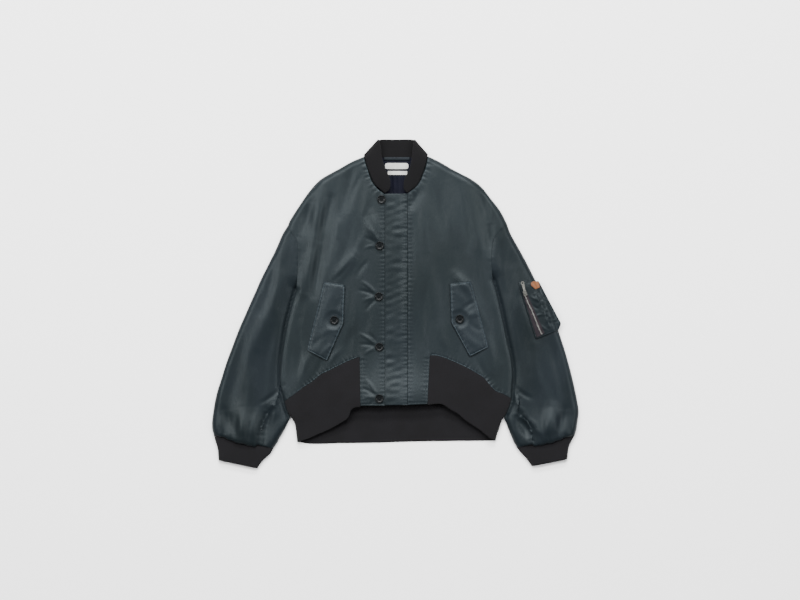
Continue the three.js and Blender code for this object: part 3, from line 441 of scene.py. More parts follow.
def cut(route, top, bottom):
    """The stretch of a route that runs down in y between two heights on the sheet"""
    kept = route[(route[:, 1] < top - 1e-6) & (route[:, 1] > bottom + 1e-6)]
    first = [(x_at(route, top), top)]
    last = [(x_at(route, bottom), bottom)]
    return np.vstack([first, kept, last])


def signed_area(outline):
    """Area of a closed outline, above 0 where it turns left"""
    after = np.roll(outline, -1, axis=0)
    return np.sum(outline[:, 0] * after[:, 1] - after[:, 0] * outline[:, 1]) / 2


def inset(outline, margin):
    """Each point of a closed outline moved inwards by the same margin"""
    before = unit(outline - np.roll(outline, 1, axis=0))
    after = unit(np.roll(outline, -1, axis=0) - outline)
    normal = unit(turned_left(before + after))
    stretch = np.maximum(0.5, normal[:, 1] * before[:, 0] - normal[:, 0] * before[:, 1])
    return outline + normal * (np.sign(signed_area(outline)) * margin / stretch)[:, None]


def inside(outline, x, y):
    crossings = np.zeros(np.shape(x), int)
    for (x1, y1), (x2, y2) in zip(outline, np.roll(outline, -1, axis=0)):
        if y1 != y2:
            spans = (y1 > y) != (y2 > y)
            crossings += spans & (x < x1 + (y - y1) * (x2 - x1) / (y2 - y1))
    return crossings % 2 == 1


# The two sides of the jacket

def make_side(shoulder, armhole, side, sections):
    """The lines of one side: a sleeve's own edges start at its second and its sixth section"""
    outer, inner = curved(sections[:, :2]), curved(sections[:, 2:])
    shoulder, armhole, side = curved(shoulder), curved(armhole), curved(side)
    return SimpleNamespace(
        shoulder=shoulder, armhole=armhole, side=side, armpit=side[0], hem=sections[-1],
        top=np.vstack([shoulder, outer[2 * CURVE_STEPS:]]), outer=outer, inner=inner,
        outer_roll=outer[CURVE_STEPS:], inner_roll=inner[5 * CURVE_STEPS:])


RIGHT = make_side(SHOULDER_RIGHT, ARMHOLE_RIGHT, SIDE_RIGHT, SLEEVE_RIGHT)
LEFT = make_side(SHOULDER_LEFT, ARMHOLE_LEFT, SIDE_LEFT, SLEEVE_LEFT)
SIDES = {"right": RIGHT, "left": LEFT}
NECK = {"right": curved(NECK_RIGHT), "left": curved(NECK_LEFT)}
RIB_SEAM = {"right": curved(RIB_SEAM_RIGHT), "left": curved(RIB_SEAM_LEFT)}
RIB_HEM = {"right": curved(RIB_HEM_RIGHT), "left": curved(RIB_HEM_LEFT)}


def by_side(x, y, measure):
    return np.where(x < 0, measure(RIGHT, x, y), measure(LEFT, x, y))


# Heights of the whole surface

def crown(x, y):
    rise = sum(
        height * np.exp(-(((x - cx) / reach_x) ** 2) - ((y - cy) / reach_y) ** 2)
        for cx, cy, reach_x, reach_y, height in BULGES)
    return CROWN + rise


def fold_height(x, y, folds):
    total = np.zeros(np.shape(x))
    for x1, y1, x2, y2, width, height, bow in folds:
        share, across, distance = to_stretch(x, y, np.array([x1, y1]), np.array([x2, y2]))
        near = clamp(share)
        bowed = np.where(
            (share > 0) & (share < 1), np.abs(across - bow * np.sin(np.pi * near)), distance)
        total += height * np.sin(np.pi * mix(0.12, 0.88, near)) * np.exp(-((bowed / width) ** 2))
    return total


def pull_rows():
    rows = []
    for button, degrees, length, height in PULLS:
        x, y = FRONT_BUTTONS[int(button)]
        way = direction(degrees)
        start = np.array([x, y]) + way * BUTTON.radius * 0.8
        end = start + way * length
        rows.append((*start, *end, PULL_WIDTH, height, 1.5))
    return np.array(rows)


CREASES = np.vstack([CREASES, pull_rows()])


def wander(run, pitch, phase):
    """An uneven wave from -1 to 1 with peaks about a pitch apart"""
    turns = run / pitch
    first = np.sin(2 * np.pi * turns + 1.7 * np.sin(0.9 * turns + phase) + phase)
    return (first + 0.5 * np.sin(2 * np.pi * 1.73 * turns + 2.1 * phase)) / 1.5


def ripple(x, y, length, seed):
    """A soft uneven surface from -1 to 1, longer down the cloth than across"""
    draw = np.random.default_rng(seed)
    total = np.zeros(np.shape(x))
    for _ in range(RIPPLE_WAVES):
        angle = draw.normal(0, 0.5)
        size = length * draw.uniform(0.6, 1.6)
        phase = draw.uniform(0, 2 * np.pi)
        total += np.sin(2 * np.pi * (x * math.cos(angle) + y * math.sin(angle) * 0.6) / size + phase)
    return total / RIPPLE_WAVES**0.5 / 1.5


def free_cloth(x, y):
    """0 where a button or the zip holds the cloth flat, 1 away from them"""
    free = beyond(distance_to(ZIP_LINE, x, y), start=5, fade=20)
    for button_x, button_y in [*FRONT_BUTTONS, *FLAP_BUTTONS.values()]:
        free = free * beyond(np.hypot(x - button_x, y - button_y), start=6, fade=12)
    return free


def tuck(route, x, y, height):
    """A step along a route: the cloth at the left of its way down stands over that at the right"""
    nearest = np.full(np.shape(x), np.inf)
    signed = np.zeros(np.shape(x))
    for a, b in zip(route[:-1], route[1:]):
        _, across, distance = to_stretch(x, y, a, b)
        signed = np.where(distance < nearest, np.sign(across) * distance, signed)
        nearest = np.minimum(nearest, distance)
    run = along_route(route, x, y)[0]
    over = smooth((signed + 0.6) / 1.2) * np.exp(-np.maximum(signed, 0) / TUCK_REACH)
    return height * over * smooth(run / 40) * smooth((TUCK_REACH * 2 - nearest) / TUCK_REACH)


def surface_detail(x, y):
    creases = fold_height(x, y, CREASES) + FOLD_SHARE * fold_height(x, y, FOLDS)
    waves = sum(
        height * ripple(x, y, length, RIPPLE_SEED + k) for k, (length, height) in enumerate(RIPPLES))
    return (CREASE_GAIN * creases + waves) * free_cloth(x, y)


def beside_armpit(stretch, armpit, y):
    """1 within the stretch of the body's height, 0 above and below it"""
    above = smooth((armpit + stretch.above - y) / stretch.fade)
    return above * beyond(y, stretch.foot, stretch.foot_fade)


def over_sleeve(x, y):
    return beside_armpit(ON_SLEEVE, np.where(x < 0, RIGHT.armpit[1], LEFT.armpit[1]), y)


def seam_height(x, y):
    """Height of the seam between front and back, which the sleeve beneath lifts"""
    return FOLD_MIDDLE + LIFT * over_sleeve(x, y)


def lift(x, y):
    """How far the sleeve beneath lifts the back"""
    sleeve_edge = by_side(x, y, lambda side, x, y: x_at(side.inner, y))
    reach = np.abs(x) - np.abs(sleeve_edge) + LIFT_MARGIN + LIFT_REACH
    return LIFT * over_sleeve(x, y) * smooth(reach / LIFT_REACH)


def body_edge_distance(x, y):
    def nearest(side, x, y):
        return np.minimum(distance_to(side.top, x, y), distance_to(side.side, x, y))
    return by_side(x, y, nearest)


def body_top(x, y):
    edge = seam_height(x, y) + SEAM
    rise = arc(body_edge_distance(x, y) / ROLL)
    return edge + (crown(x, y) + fold_height(x, y, FOLDS) + surface_detail(x, y) - edge) * rise


def back_under(x, y):
    drop = 1 - arc(body_edge_distance(x, y) / UNDER_ROLL)
    return mix(lift(x, y), seam_height(x, y) - SEAM, drop)


def back_inside(x, y, wall):
    """The back's upper face, a wall above its underside"""
    drop = 1 - arc((body_edge_distance(x, y) - wall) / UNDER_ROLL)
    return mix(lift(x, y) + wall, seam_height(x, y) - SEAM, drop)


def sleeve_top(side, x, y):
    distance = np.minimum(distance_to(side.top, x, y), distance_to(side.inner, x, y))
    rise = arc(distance / ROLL)
    full = crown(x, y) + fold_height(x, y, FOLDS) + surface_detail(x, y)
    opened = FOLD_MIDDLE + (full - FOLD_MIDDLE) * rise
    beneath = (np.abs(x) < np.abs(x_at(side.side, y))) & (y < side.armpit[1])
    away = np.where(beneath, 0, np.maximum(0, distance_to(side.side, x, y) - COVER_MARGIN))
    pressed = SLEEVE_UNDER_BODY + (opened - SLEEVE_UNDER_BODY) * arc(away / PRESSED_REACH)
    top = mix(opened, np.minimum(opened, pressed), beside_armpit(PRESSED, side.armpit[1], y))
    to_seam = to_stretch(x, y, side.hem[:2], side.hem[2:])[2]
    return mix(np.minimum(top, CUFF_CROWN + 1), top, arc(to_seam / 6))


# Meshes

def vertex_normals(points, faces):
    corners = points[faces]
    normal = np.cross(corners[:, 2] - corners[:, 0], corners[:, -1] - corners[:, 1])
    total = np.zeros_like(points)
    for k in range(faces.shape[1]):
        np.add.at(total, faces[:, k], normal)
    return unit(total)


def open_edges(points, faces):
    """Edges of one face only, in the direction in which that face runs"""
    count = len(points)
    sides = faces.shape[1]
    edges = np.concatenate([faces[:, [k, (k + 1) % sides]] for k in range(sides)])
    key = edges[:, 0] * count + edges[:, 1]
    back = edges[:, 1] * count + edges[:, 0]
    return edges[~np.isin(key, back)]


def joined(outer, inner, faces):
    """A closed wall: the outer face, the inner one turned over, and a rim round each open edge"""
    count = len(outer)
    rim = open_edges(outer, faces)
    rim_faces = np.column_stack([rim[:, 1], rim[:, 0], rim[:, 0] + count, rim[:, 1] + count])
    return np.vstack([outer, inner]), [faces, faces[:, ::-1] + count, rim_faces]


def shell(points, faces, wall):
    """A wall between a surface and the same surface moved in"""
    return joined(points, points - vertex_normals(points, faces) * wall, faces)


def facing_up(points, faces):
    return faces[:, ::-1] if vertex_normals(points, faces)[:, 2].mean() < 0 else faces


EVEN_ROWS = 0.87  # from row to row of even triangles, by their side


def planform(outline, spacing, rings=(0.4, 1.2, 2.8), fine=()):
    """Triangles over an outline, closer together along its border and along the fine lines"""
    loop = closed(outline)
    border = resample(loop, spacing)[:-1]
    taken = [border]
    for ring in rings:
        row = inset(border, ring)
        taken.append(row[inside(outline, *row.T) & (distance_to(loop, *row.T) > ring * 0.8)])
    for route, offsets in fine:
        centre = resample(route, spacing)
        normal = unit(turned_left(np.gradient(centre, axis=0)))
        for offset in offsets:
            row = centre + normal * offset
            taken.append(row[inside(outline, *row.T) & (distance_to(loop, *row.T) > rings[-1] + 0.5)])
    low, high = outline.min(0), outline.max(0)
    rows = np.arange(low[1], high[1], spacing * EVEN_ROWS)
    grid = np.array([
        (x, y) for i, y in enumerate(rows)
        for x in np.arange(low[0] + (i % 2) * spacing / 2, high[0], spacing)])
    keep = inside(outline, *grid.T) & (distance_to(loop, *grid.T) > rings[-1] + spacing * 0.6)
    for route, offsets in fine:
        keep &= distance_to(route, *grid.T) > max(offsets) + spacing * 0.5
    taken.append(grid[keep])
    points = np.vstack(taken)
    edges = [(k, (k + 1) % len(border)) for k in range(len(border))]
    found = delaunay_2d_cdt([Vector(point) for point in points], edges, [], 1, 1e-4)
    flat = np.array([tuple(point) for point in found[0]])
    faces = np.array(found[2])
    a, b, c = (flat[faces[:, k]] for k in range(3))
    area = (b[:, 0] - a[:, 0]) * (c[:, 1] - a[:, 1]) - (c[:, 0] - a[:, 0]) * (b[:, 1] - a[:, 1])
    faces = np.where((area < 0)[:, None], faces[:, ::-1], faces)
    return flat, faces


def grid_faces(rows, columns, wrapped=False):
    """Quads of a grid of rows and columns, closed round its columns where it is wrapped"""
    i, j = np.meshgrid(np.arange(rows - 1), np.arange(columns if wrapped else columns - 1), indexing="ij")
    i, j = i.ravel(), j.ravel()
    k = (j + 1) % columns
    return np.column_stack([i * columns + j, i * columns + k, (i + 1) * columns + k, (i + 1) * columns + j])


def raised(flat, height):
    return np.column_stack([flat, height(*flat.T)])


def add_object(name, data):
    made = bpy.data.objects.new(name, data)
    bpy.context.scene.collection.objects.link(made)
    return made


def make_piece(name, points, face_groups, material, replaces=(), crease=42):
    mesh = bpy.data.meshes.new(name)
    faces = [face for group in face_groups for face in np.asarray(group).tolist()]
    mesh.from_pydata((np.asarray(points) * MM).tolist(), [], faces)
    mesh.validate()
    mesh.shade_smooth()
    mesh.set_sharp_from_angle(angle=math.radians(crease))
    mesh.materials.append(material)
    piece = add_object(name, mesh)
    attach(piece, "root")
    if replaces:
        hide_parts(*replaces)
    return piece


# Surfaces that repeat: turned edges, grooves, puckered seams and rows of stitches

def turned(distance, roll=TURN):
    """How far a turned edge lies below the cloth beside it"""
    return -roll * (1 - arc(distance / roll))


def groove(distance, depth=0.5, width=1.3):
    return -depth * np.exp(-((distance / width) ** 2))


def pucker(route, x, y, kind, shift=0.0):
    pitch, reach, height, phase = PUCKERS[kind]
    run, distance = along_route(route, x, y)
    return height * wander(run, pitch, phase + shift) * np.exp(-((distance / reach) ** 2))


def stitch_shape():
    """One stitch along +X: a thread that rises out of the cloth and goes back in"""
    sides, rings = 6, 5
    rows = []
    for t in np.linspace(-1, 1, rings):
        radius = STITCH.radius * mix(0.55, 1, math.sqrt(1 - t * t))
        sink = STITCH.radius * 1.1 * t * t
        for s in range(sides):
            angle = 2 * math.pi * s / sides
            rows.append((t * STITCH.length / 2, radius * math.cos(angle), radius * math.sin(angle) - sink))
    faces = grid_faces(rings, sides, wrapped=True)
    caps = np.array([[0, 5, 4, 3], [0, 3, 2, 1]])
    end = np.array([[0, 1, 2, 3], [0, 3, 4, 5]]) + (rings - 1) * sides
    return np.array(rows), np.vstack([faces, caps, end])


STITCH_POINTS, STITCH_FACES = stitch_shape()


def stitch_rows(routes, height):
    """Stitches along each route, lying on the height"""
    all_points, all_faces = [], []
    start = 0
    for route in routes:
        run = run_along(route)
        count = int(run[-1] / STITCH.pitch)
        places = (np.arange(count) + 0.5) * run[-1] / count
        way = unit(at_runs(route, run, places + 0.5) - at_runs(route, run, places - 0.5))
        along, across, up = STITCH_POINTS.T
        flat = at_runs(route, run, places)[:, None] + (
            way[:, None] * along[None, :, None] + turned_left(way)[:, None] * across[None, :, None])
        z = height(*flat.reshape(-1, 2).T) + np.tile(up, count)
        all_points.append(np.column_stack([flat.reshape(-1, 2), z]))
        offsets = start + np.arange(count)[:, None, None] * len(STITCH_POINTS)
        all_faces.append((STITCH_FACES[None] + offsets).reshape(-1, 4))
        start += count * len(STITCH_POINTS)
    return np.vstack(all_points), np.vstack(all_faces)


# Materials

def linked(tree, kind, **inputs):
    """A node with its inputs set, or joined where the value is another node's output"""
    node = tree.nodes.new(kind)
    for name, value in inputs.items():
        socket = node.inputs[name.replace("_", " ")]
        if isinstance(value, bpy.types.NodeSocket):
            tree.links.new(value, socket)
        else:
            socket.default_value = value
    return node


def srgb(red, green, blue):
    """A colour given as it shows, from 0 to 255, in linear light"""
    def straight(value):
        value /= 255
        return value / 12.92 if value <= 0.04045 else ((value + 0.055) / 1.055) ** 2.4
    return (straight(red), straight(green), straight(blue), 1)


SATIN_TINT = (0.88, 0.98, 1, 1)  # the sheen keeps the cloth's colour


def start_material(name, roughness, **inputs):
    """A material, its node tree and its shader, with the shader's inputs set"""
    material = bpy.data.materials.new(name)
    material.use_nodes = True
    shader = material.node_tree.nodes["Principled BSDF"]
    for key, value in {"Roughness": roughness, **inputs}.items():
        shader.inputs[key.replace("_", " ")].default_value = value
    return material, material.node_tree, shader


def stretched_coordinates(tree, scale):
    place = linked(tree, "ShaderNodeTexCoord")
    return linked(tree, "ShaderNodeMapping", Vector=place.outputs["Object"], Scale=scale)


def noise_height(tree, scale, stretch=(1, 1, 1), detail=2.0):
    place = stretched_coordinates(tree, stretch)
    noise = linked(tree, "ShaderNodeTexNoise", Vector=place.outputs["Vector"], Scale=scale, Detail=detail)
    return noise.outputs["Fac"]


def shaded_noise(tree, shader, dark, light, scale, stretch=(1, 1, 1)):
    """The base colour drifts between two tones: painted lengthwise sheen in the satin, random tone
    elsewhere
    """
    ramp = linked(tree, "ShaderNodeValToRGB", Fac=noise_height(tree, scale, stretch, detail=3.0))
    for element, position, colour in zip(ramp.color_ramp.elements, (0.35, 0.65), (dark, light)):
        element.position = position
        element.color = colour
    tree.links.new(ramp.outputs["Color"], shader.inputs["Base Color"])


def bumps(tree, shader, layers):
    """Bumps on one another: (height socket, strength, depth in metres)"""
    last = None
    for height, strength, depth in layers:
        bump = linked(tree, "ShaderNodeBump", Height=height, Strength=strength, Distance=depth)
        if last:
            tree.links.new(last.outputs["Normal"], bump.inputs["Normal"])
        last = bump
    tree.links.new(last.outputs["Normal"], shader.inputs["Normal"])


def band_height(tree, pitch, turn):
    """Ridges with a pitch in metres, turned in the plane of the cloth"""
    place = linked(tree, "ShaderNodeTexCoord")
    turned_place = linked(
        tree, "ShaderNodeMapping", Vector=place.outputs["Object"], Rotation=(0, 0, math.radians(turn)))
    wave = linked(tree, "ShaderNodeTexWave", Vector=turned_place.outputs["Vector"], Scale=0.314 / pitch)
    wave.wave_profile = "SIN"
    return wave.outputs["Fac"]


def nylon(name, dark, light, roughness=0.4):
    """Satin nylon: a smooth fine twill with a soft lengthwise sheen, partly painted into its base colour as
    broad lengthwise light and dark bands, and small crumples
    """
    material, tree, shader = start_material(
        name, roughness, Specular_IOR_Level=0.12, Specular_Tint=SATIN_TINT)
    # Painted sheen: the base colour drifts between a darker and a lighter tone in broad lengthwise bands,
    # in place of the sheen of soft folds
    shaded_noise(tree, shader, dark, light, scale=5, stretch=(1.6, 0.7, 1))
    bumps(tree, shader, [
        (band_height(tree, 0.0007, 62), 0.25, 0.0001),
        (noise_height(tree, 40, (1.5, 0.7, 1)), 0.4, 0.0009),
        (noise_height(tree, 150, (1.3, 0.8, 1)), 0.35, 0.0003)])
    return material


def knit(name, dark, light):
    material, tree, shader = start_material(
        name, 0.92, Sheen_Weight=0.03, Sheen_Roughness=0.6, Specular_IOR_Level=0.08)
    shaded_noise(tree, shader, dark, light, scale=22)
    bumps(tree, shader, [(noise_height(tree, 900), 0.5, 0.0002), (noise_height(tree, 120), 0.3, 0.0004)])
    return material


def woven(name, dark, light, roughness=0.8, pitch=0.0006):
    """Plain weave of two crossing sets of threads"""
    material, tree, shader = start_material(
        name, roughness, Sheen_Weight=0.02, Sheen_Roughness=0.4, Specular_IOR_Level=0.06)
    shaded_noise(tree, shader, dark, light, scale=60)
    bumps(tree, shader, [
        (band_height(tree, pitch, 0), 0.35, 0.00012), (band_height(tree, pitch, 90), 0.35, 0.00012),
        (noise_height(tree, 90), 0.3, 0.0003)])
    return material


def hide(name, dark, light):
    material, tree, shader = start_material(name, 0.55, Specular_IOR_Level=0.4)
    shaded_noise(tree, shader, dark, light, scale=140)
    bumps(tree, shader, [(noise_height(tree, 1400, detail=4), 0.5, 0.0002)])
    return material


def polished(name, dark, light, roughness, metallic=0.0, specular=0.5):
    material, tree, shader = start_material(
        name, roughness, Metallic=metallic, Specular_IOR_Level=specular)
    shaded_noise(tree, shader, dark, light, scale=260)
    bumps(tree, shader, [(noise_height(tree, 800), 0.12, 0.00005)])
    return material


# Each satin's two tones differ by painted sheen, broad lengthwise light and dark bands
SATIN = nylon("satin_nylon", srgb(15, 20, 22), srgb(19, 24, 27))
SLEEVE_SATIN = nylon("sleeve_nylon", srgb(12, 17, 19), srgb(15, 20, 24))
FLAP_SATIN = nylon("flap_nylon", srgb(17, 22, 25), srgb(20, 25, 29))
LOOP_SATIN = nylon("loop_nylon", srgb(11, 14, 18), srgb(14, 18, 23), roughness=0.6)
BLACK_RIB = knit("black_rib", srgb(12.5, 12, 13.5), srgb(14.5, 14, 16))
# Painted shade: the collar's knit is a darker copy of the black rib, dimming the raised, tilted collar and
# the border between its back and its wings
SHADED_COLLAR_KNIT = knit("collar_rib_shaded", srgb(8, 7.8, 8.8), srgb(10, 9.6, 11))
NAVY = woven("navy_lining", srgb(4, 5, 15), srgb(7, 8, 19), roughness=0.6)
WHITE = woven("white_label", srgb(158, 158, 155), srgb(170, 170, 167))
BROWN_TAPE = woven("zip_tape_cloth", srgb(27, 24, 27), srgb(34, 30, 33), pitch=0.0009)
TAN = hide("tan_leather", srgb(84, 42, 6), srgb(98, 52, 9))
DARK_RESIN = polished("dark_resin", srgb(6, 8, 9), srgb(9, 11, 13), 0.3, specular=0.12)
THREAD = woven("sewing_thread", srgb(26, 33, 36), srgb(32, 39, 43), roughness=0.6, pitch=0.0003)
LIGHT_THREAD = woven("light_thread", srgb(58, 70, 76), srgb(72, 84, 91), roughness=0.6, pitch=0.0003)
DARK_THREAD = woven("dark_thread", srgb(12, 15, 17), srgb(17, 20, 22), roughness=0.6, pitch=0.0003)
BRIGHT_NICKEL = polished("bright_nickel", srgb(176, 176, 171), srgb(198, 198, 193), 0.3, metallic=1.0)
NICKEL = polished("nickel", srgb(112, 112, 108), srgb(136, 136, 131), 0.26, metallic=1.0)


# Fronts, with the tab between the ribs

ROW_OFFSETS = (-2.6, -1.2, 0, 1.2, 2.6)  # lines of points beside a row of stitches


def front_outline(side, name):
    neck, seam = NECK[name], RIB_SEAM[name]
    if name == "right":
        middle = [(FRONT_EDGE_X, 240), (FRONT_EDGE_X, TAB.bottom), (TAB.right, TAB.bottom)]
    else:
        middle = [(BAND.seam, 241.4), (BAND.seam, TAB.bottom_left - 2), (TAB.left, TAB.bottom_left)]
    side_stretch = cut(side.side, side.armpit[1], seam[-1][1])
    return np.vstack([
        neck, middle, seam[:-1], side_stretch[::-1], side.armhole[:-1][::-1], side.shoulder[1:-1][::-1]])


def beside(route, margin):
    """The route moved sideways, to the right of its way where the margin is above 0"""
    return route - unit(turned_left(np.gradient(route, axis=0))) * margin


# Rows of stitches, with those beside the rib and the neck first
FRONT_ROWS = {
    "right": [
        RIB_SEAM["right"][1:-4] + (0, RIB_ROW),
        beside(NECK["right"], NECK_ROW)[1:-1],
        line((FRONT_EDGE_X - EDGE_ROW, 238), (FRONT_EDGE_X - EDGE_ROW, TAB.bottom + EDGE_ROW)),
        line((FRONT_EDGE_X - EDGE_ROW, TAB.bottom + TAB_ROW), (TAB.right + 2, TAB.bottom + TAB_ROW)),
        line((TAB.right + TAB_ROW, TAB.bottom + 2), (-74, -116)),
    ],
    "left": [
        RIB_SEAM["left"][1:-4] + (0, RIB_ROW),
        beside(NECK["left"], -NECK_ROW)[1:-1],
        line((BAND.seam + EDGE_ROW, 238), (BAND.seam + EDGE_ROW, TAB.bottom_left)),
        line((BAND.seam + 2, TAB.bottom_left + TAB_ROW - 1), (TAB.left - 2, TAB.bottom_left + TAB_ROW)),
        line((TAB.left - TAB_ROW, TAB.bottom_left + 2), (71, -113)),
    ],
}
FREE_EDGES = {
    "right": line((FRONT_EDGE_X, 240), (FRONT_EDGE_X, TAB.bottom), (TAB.right, TAB.bottom)),
    "left": line((BAND.seam, TAB.bottom_left - 2), (TAB.left, TAB.bottom_left)),
}


def front_surface(side, name, outline):
    def height(x, y):
        detail = turned(distance_to(closed(outline), x, y), SEAM_ROLL)
        detail = detail + turned(distance_to(FREE_EDGES[name], x, y))
        for k, row in enumerate(FRONT_ROWS[name]):
            detail = detail + pucker(row, x, y, "front_row", 1.3 * k) + groove(distance_to(row, x, y))
        detail = detail + pucker(RIB_SEAM[name], x, y, "rib_seam")
        detail = detail + pucker(NECK[name], x, y, "neck") + pucker(side.armhole, x, y, "armhole")
        return body_top(x, y) + detail * smooth(body_edge_distance(x, y) / EDGE_FADE)
    return height


def make_front(side, name):
    outline = inset(front_outline(side, name), SEAM)
    fine = [(row, ROW_OFFSETS) for row in FRONT_ROWS[name]]
    flat, faces = planform(outline, 2.8, fine=fine)
    height = front_surface(side, name, outline)
    points, groups = shell(raised(flat, height), faces, VISIBLE_SHELL)
    piece = make_piece(f"front_{name}_cloth", points, groups, SATIN, [f"front_{name}"])
    return piece, height


# The button band, which runs on beneath the right front

def band_top(x, y):
    """The band lies a layer lower beneath the right front and comes up to its seam"""
    run = 1 - smooth((x - BAND.ramp_start) / (BAND.seam - BAND.ramp_start))
    crinkles = 0.42 * ripple(y, x, 17, RIPPLE_SEED + len(RIPPLES)) * beyond(x, FRONT_EDGE_X, 6)
    crinkles = crinkles + pucker(BAND_SEAM, x, y, "band_seam")
    return body_top(x, y) - BAND.drop * run + crinkles + turned(BAND.seam - SEAM - x, SEAM_ROLL)


def make_band():
    outline = line(
        (BAND.under, BAND.top - 6), (-30, BAND.top - 1), (-21, BAND.top),
        (BAND.seam - SEAM, BAND.top), (BAND.seam - SEAM, BAND.bottom + 1), (BAND.under, BAND.bottom))
    flat, faces = planform(outline, 2.6)
    loop = closed(outline)

    def height(x, y):
        return band_top(x, y) + 0.7 * turned(distance_to(loop, x, y))

    points, groups = shell(raised(flat, height), faces, VISIBLE_SHELL)
    return make_piece("button_band_cloth", points, groups, SATIN, ["button_band"])


# Back panel, seen at the sides and from beneath

def make_back():
    x = np.linspace(-BACK_NECK.half, BACK_NECK.half, 24)
    neck = np.column_stack([x, BACK_NECK.y + BACK_NECK.rise * (x / BACK_NECK.half) ** 2])
    foot = BACK_RIB_TOP + SEAM
    outline = np.vstack([
        neck, LEFT.shoulder, LEFT.armhole[1:], cut(LEFT.side, LEFT.armpit[1], foot)[1:],
        cut(RIGHT.side, RIGHT.armpit[1], foot)[1:][::-1], RIGHT.armhole[::-1], RIGHT.shoulder[:-1][::-1]])
    outline = inset(outline, SEAM)
    flat, faces = planform(outline, 4.6, rings=(0.4, 1.2, 2.8, 5))
    points, groups = shell(raised(flat, back_under), faces[:, ::-1], VISIBLE_SHELL)
    return make_piece("back_cloth", points, groups, SATIN, ["back_panel"])


# Sleeves: a top and an underside that share their rolled edges

def sleeve_outline(side):
    return np.vstack([side.armhole, side.inner_roll, side.outer_roll[::-1][:-1]])


def sleeve_hang(side, share, to_hem, edge):
    """How far the gathered sleeve hangs past its seam, by the share of the seam's width"""
    hang = OVERHANG * smooth((share - 0.12) / 0.3) * smooth((0.74 - share) / 0.05)
    wave = 0.9 * wander(share * 130, 17, 0.4) * smooth(share / 0.1) * smooth((1 - share) / 0.25)
    hang = np.maximum(hang + wave, 0) * smooth((14 - to_hem) / 14) * smooth(edge / 10)
    way = np.array([side.hem[1] - side.hem[3], side.hem[2] - side.hem[0]])
    way = way / -math.hypot(*way) * np.sign(way[1])
    return way * hang[:, None]


def make_sleeve(side, name):
    flat, faces = planform(sleeve_outline(side), 2.9, rings=(0.25, 0.9, 2.0, 4.0))
    x, y = flat.T
    to_roll = np.minimum(distance_to(side.outer_roll, x, y), distance_to(side.inner_roll, x, y))
    rolled = to_roll < ON_EDGE
    edge = np.minimum(distance_to(side.outer, x, y), distance_to(side.inner, x, y))
    share, _, to_hem = to_stretch(x, y, side.hem[:2], side.hem[2:])
    sewing = turned(distance_to(side.armhole, x, y), SEAM_ROLL) + tuck(TUCKS[name], x, y, TUCK_HEIGHT)
    for route, kind in (
            (side.armhole, "sleeve_armhole"), (TUCKS[name], "sleeve_tuck"),
            (side.hem.reshape(2, 2), "cuff_seam")):
        sewing = sewing + pucker(route, x, y, kind)
    top = sleeve_top(side, x, y) + sewing * smooth(edge / EDGE_FADE)
    top = np.where(rolled, FOLD_MIDDLE, top)
    upper = np.column_stack([flat + sleeve_hang(side, clamp(share), to_hem, edge), top])
    under = mix(0, FOLD_MIDDLE, 1 - arc(edge / UNDER_ROLL))
    count = len(flat)
    lower_index = np.where(rolled, np.arange(count), count + np.cumsum(~rolled) - 1)
    points = np.vstack([upper, np.column_stack([flat, under])[~rolled]])
    points, groups = shell(points, np.vstack([faces, lower_index[faces[:, ::-1]]]), VISIBLE_SHELL)
    return make_piece(
        f"sleeve_{name}_cloth", points, groups, SLEEVE_SATIN, [f"sleeve_{name}"])


# Rib knit

def wales(run, whole):
    """Ridges along a run, a whole number of them"""
    count = max(1, round(whole / WALE))
    return WALE_HEIGHT * (0.5 + 0.5 * np.cos(2 * np.pi * run / whole * count))


def spread(route, count):
    """Points at equal runs along a route"""
    run = run_along(route)
    return at_runs(route, run, np.linspace(0, run[-1], count))


def patch(first, last, start, end, rows, columns):
    """A grid between four routes that meet at their ends: first and last are its rows"""
    top, bottom = spread(first, columns), spread(last, columns)
    near, far = spread(start, rows), spread(end, rows)
    u = np.linspace(0, 1, columns)[None, :, None]
    v = np.linspace(0, 1, rows)[:, None, None]
    across = mix(top[None], bottom[None], v)
    down = mix(near[:, None], far[:, None], u)
    corners = mix(mix(top[0], bottom[0], v), mix(top[-1], bottom[-1], v), u)
    return across + down - corners


def eased(rows, roll, length):
    """Shares from 0 to 1 that lie closer together at both ends"""
    ends = np.array([0, 0.12, 0.4, 1.0]) * roll / length
    middle = np.linspace(ends[-1], 1 - ends[-1], rows)
    return np.concatenate([ends[:-1], middle, 1 - ends[:-1][::-1]])


def resampled_rows(grid, shares):
    """The grid's rows at the given shares of its height"""
    places = shares * (len(grid) - 1)
    low = np.clip(places.astype(int), 0, len(grid) - 2)
    return mix(grid[low], grid[low + 1], (places - low)[:, None, None])


def knitted(first, last, start, end, run, rows):
    """Flat points between four routes, a few to each wale of the run, their ridges and faces"""
    columns = round(run / WALE) * POINTS_PER_WALE + 1
    grid = resampled_rows(patch(first, last, start, end, 40, columns), eased(rows, 4, 95))
    ridges = wales(np.tile(np.linspace(0, run, columns), len(grid)), run)
    return grid.reshape(-1, 2), ridges, grid_faces(len(grid), columns)


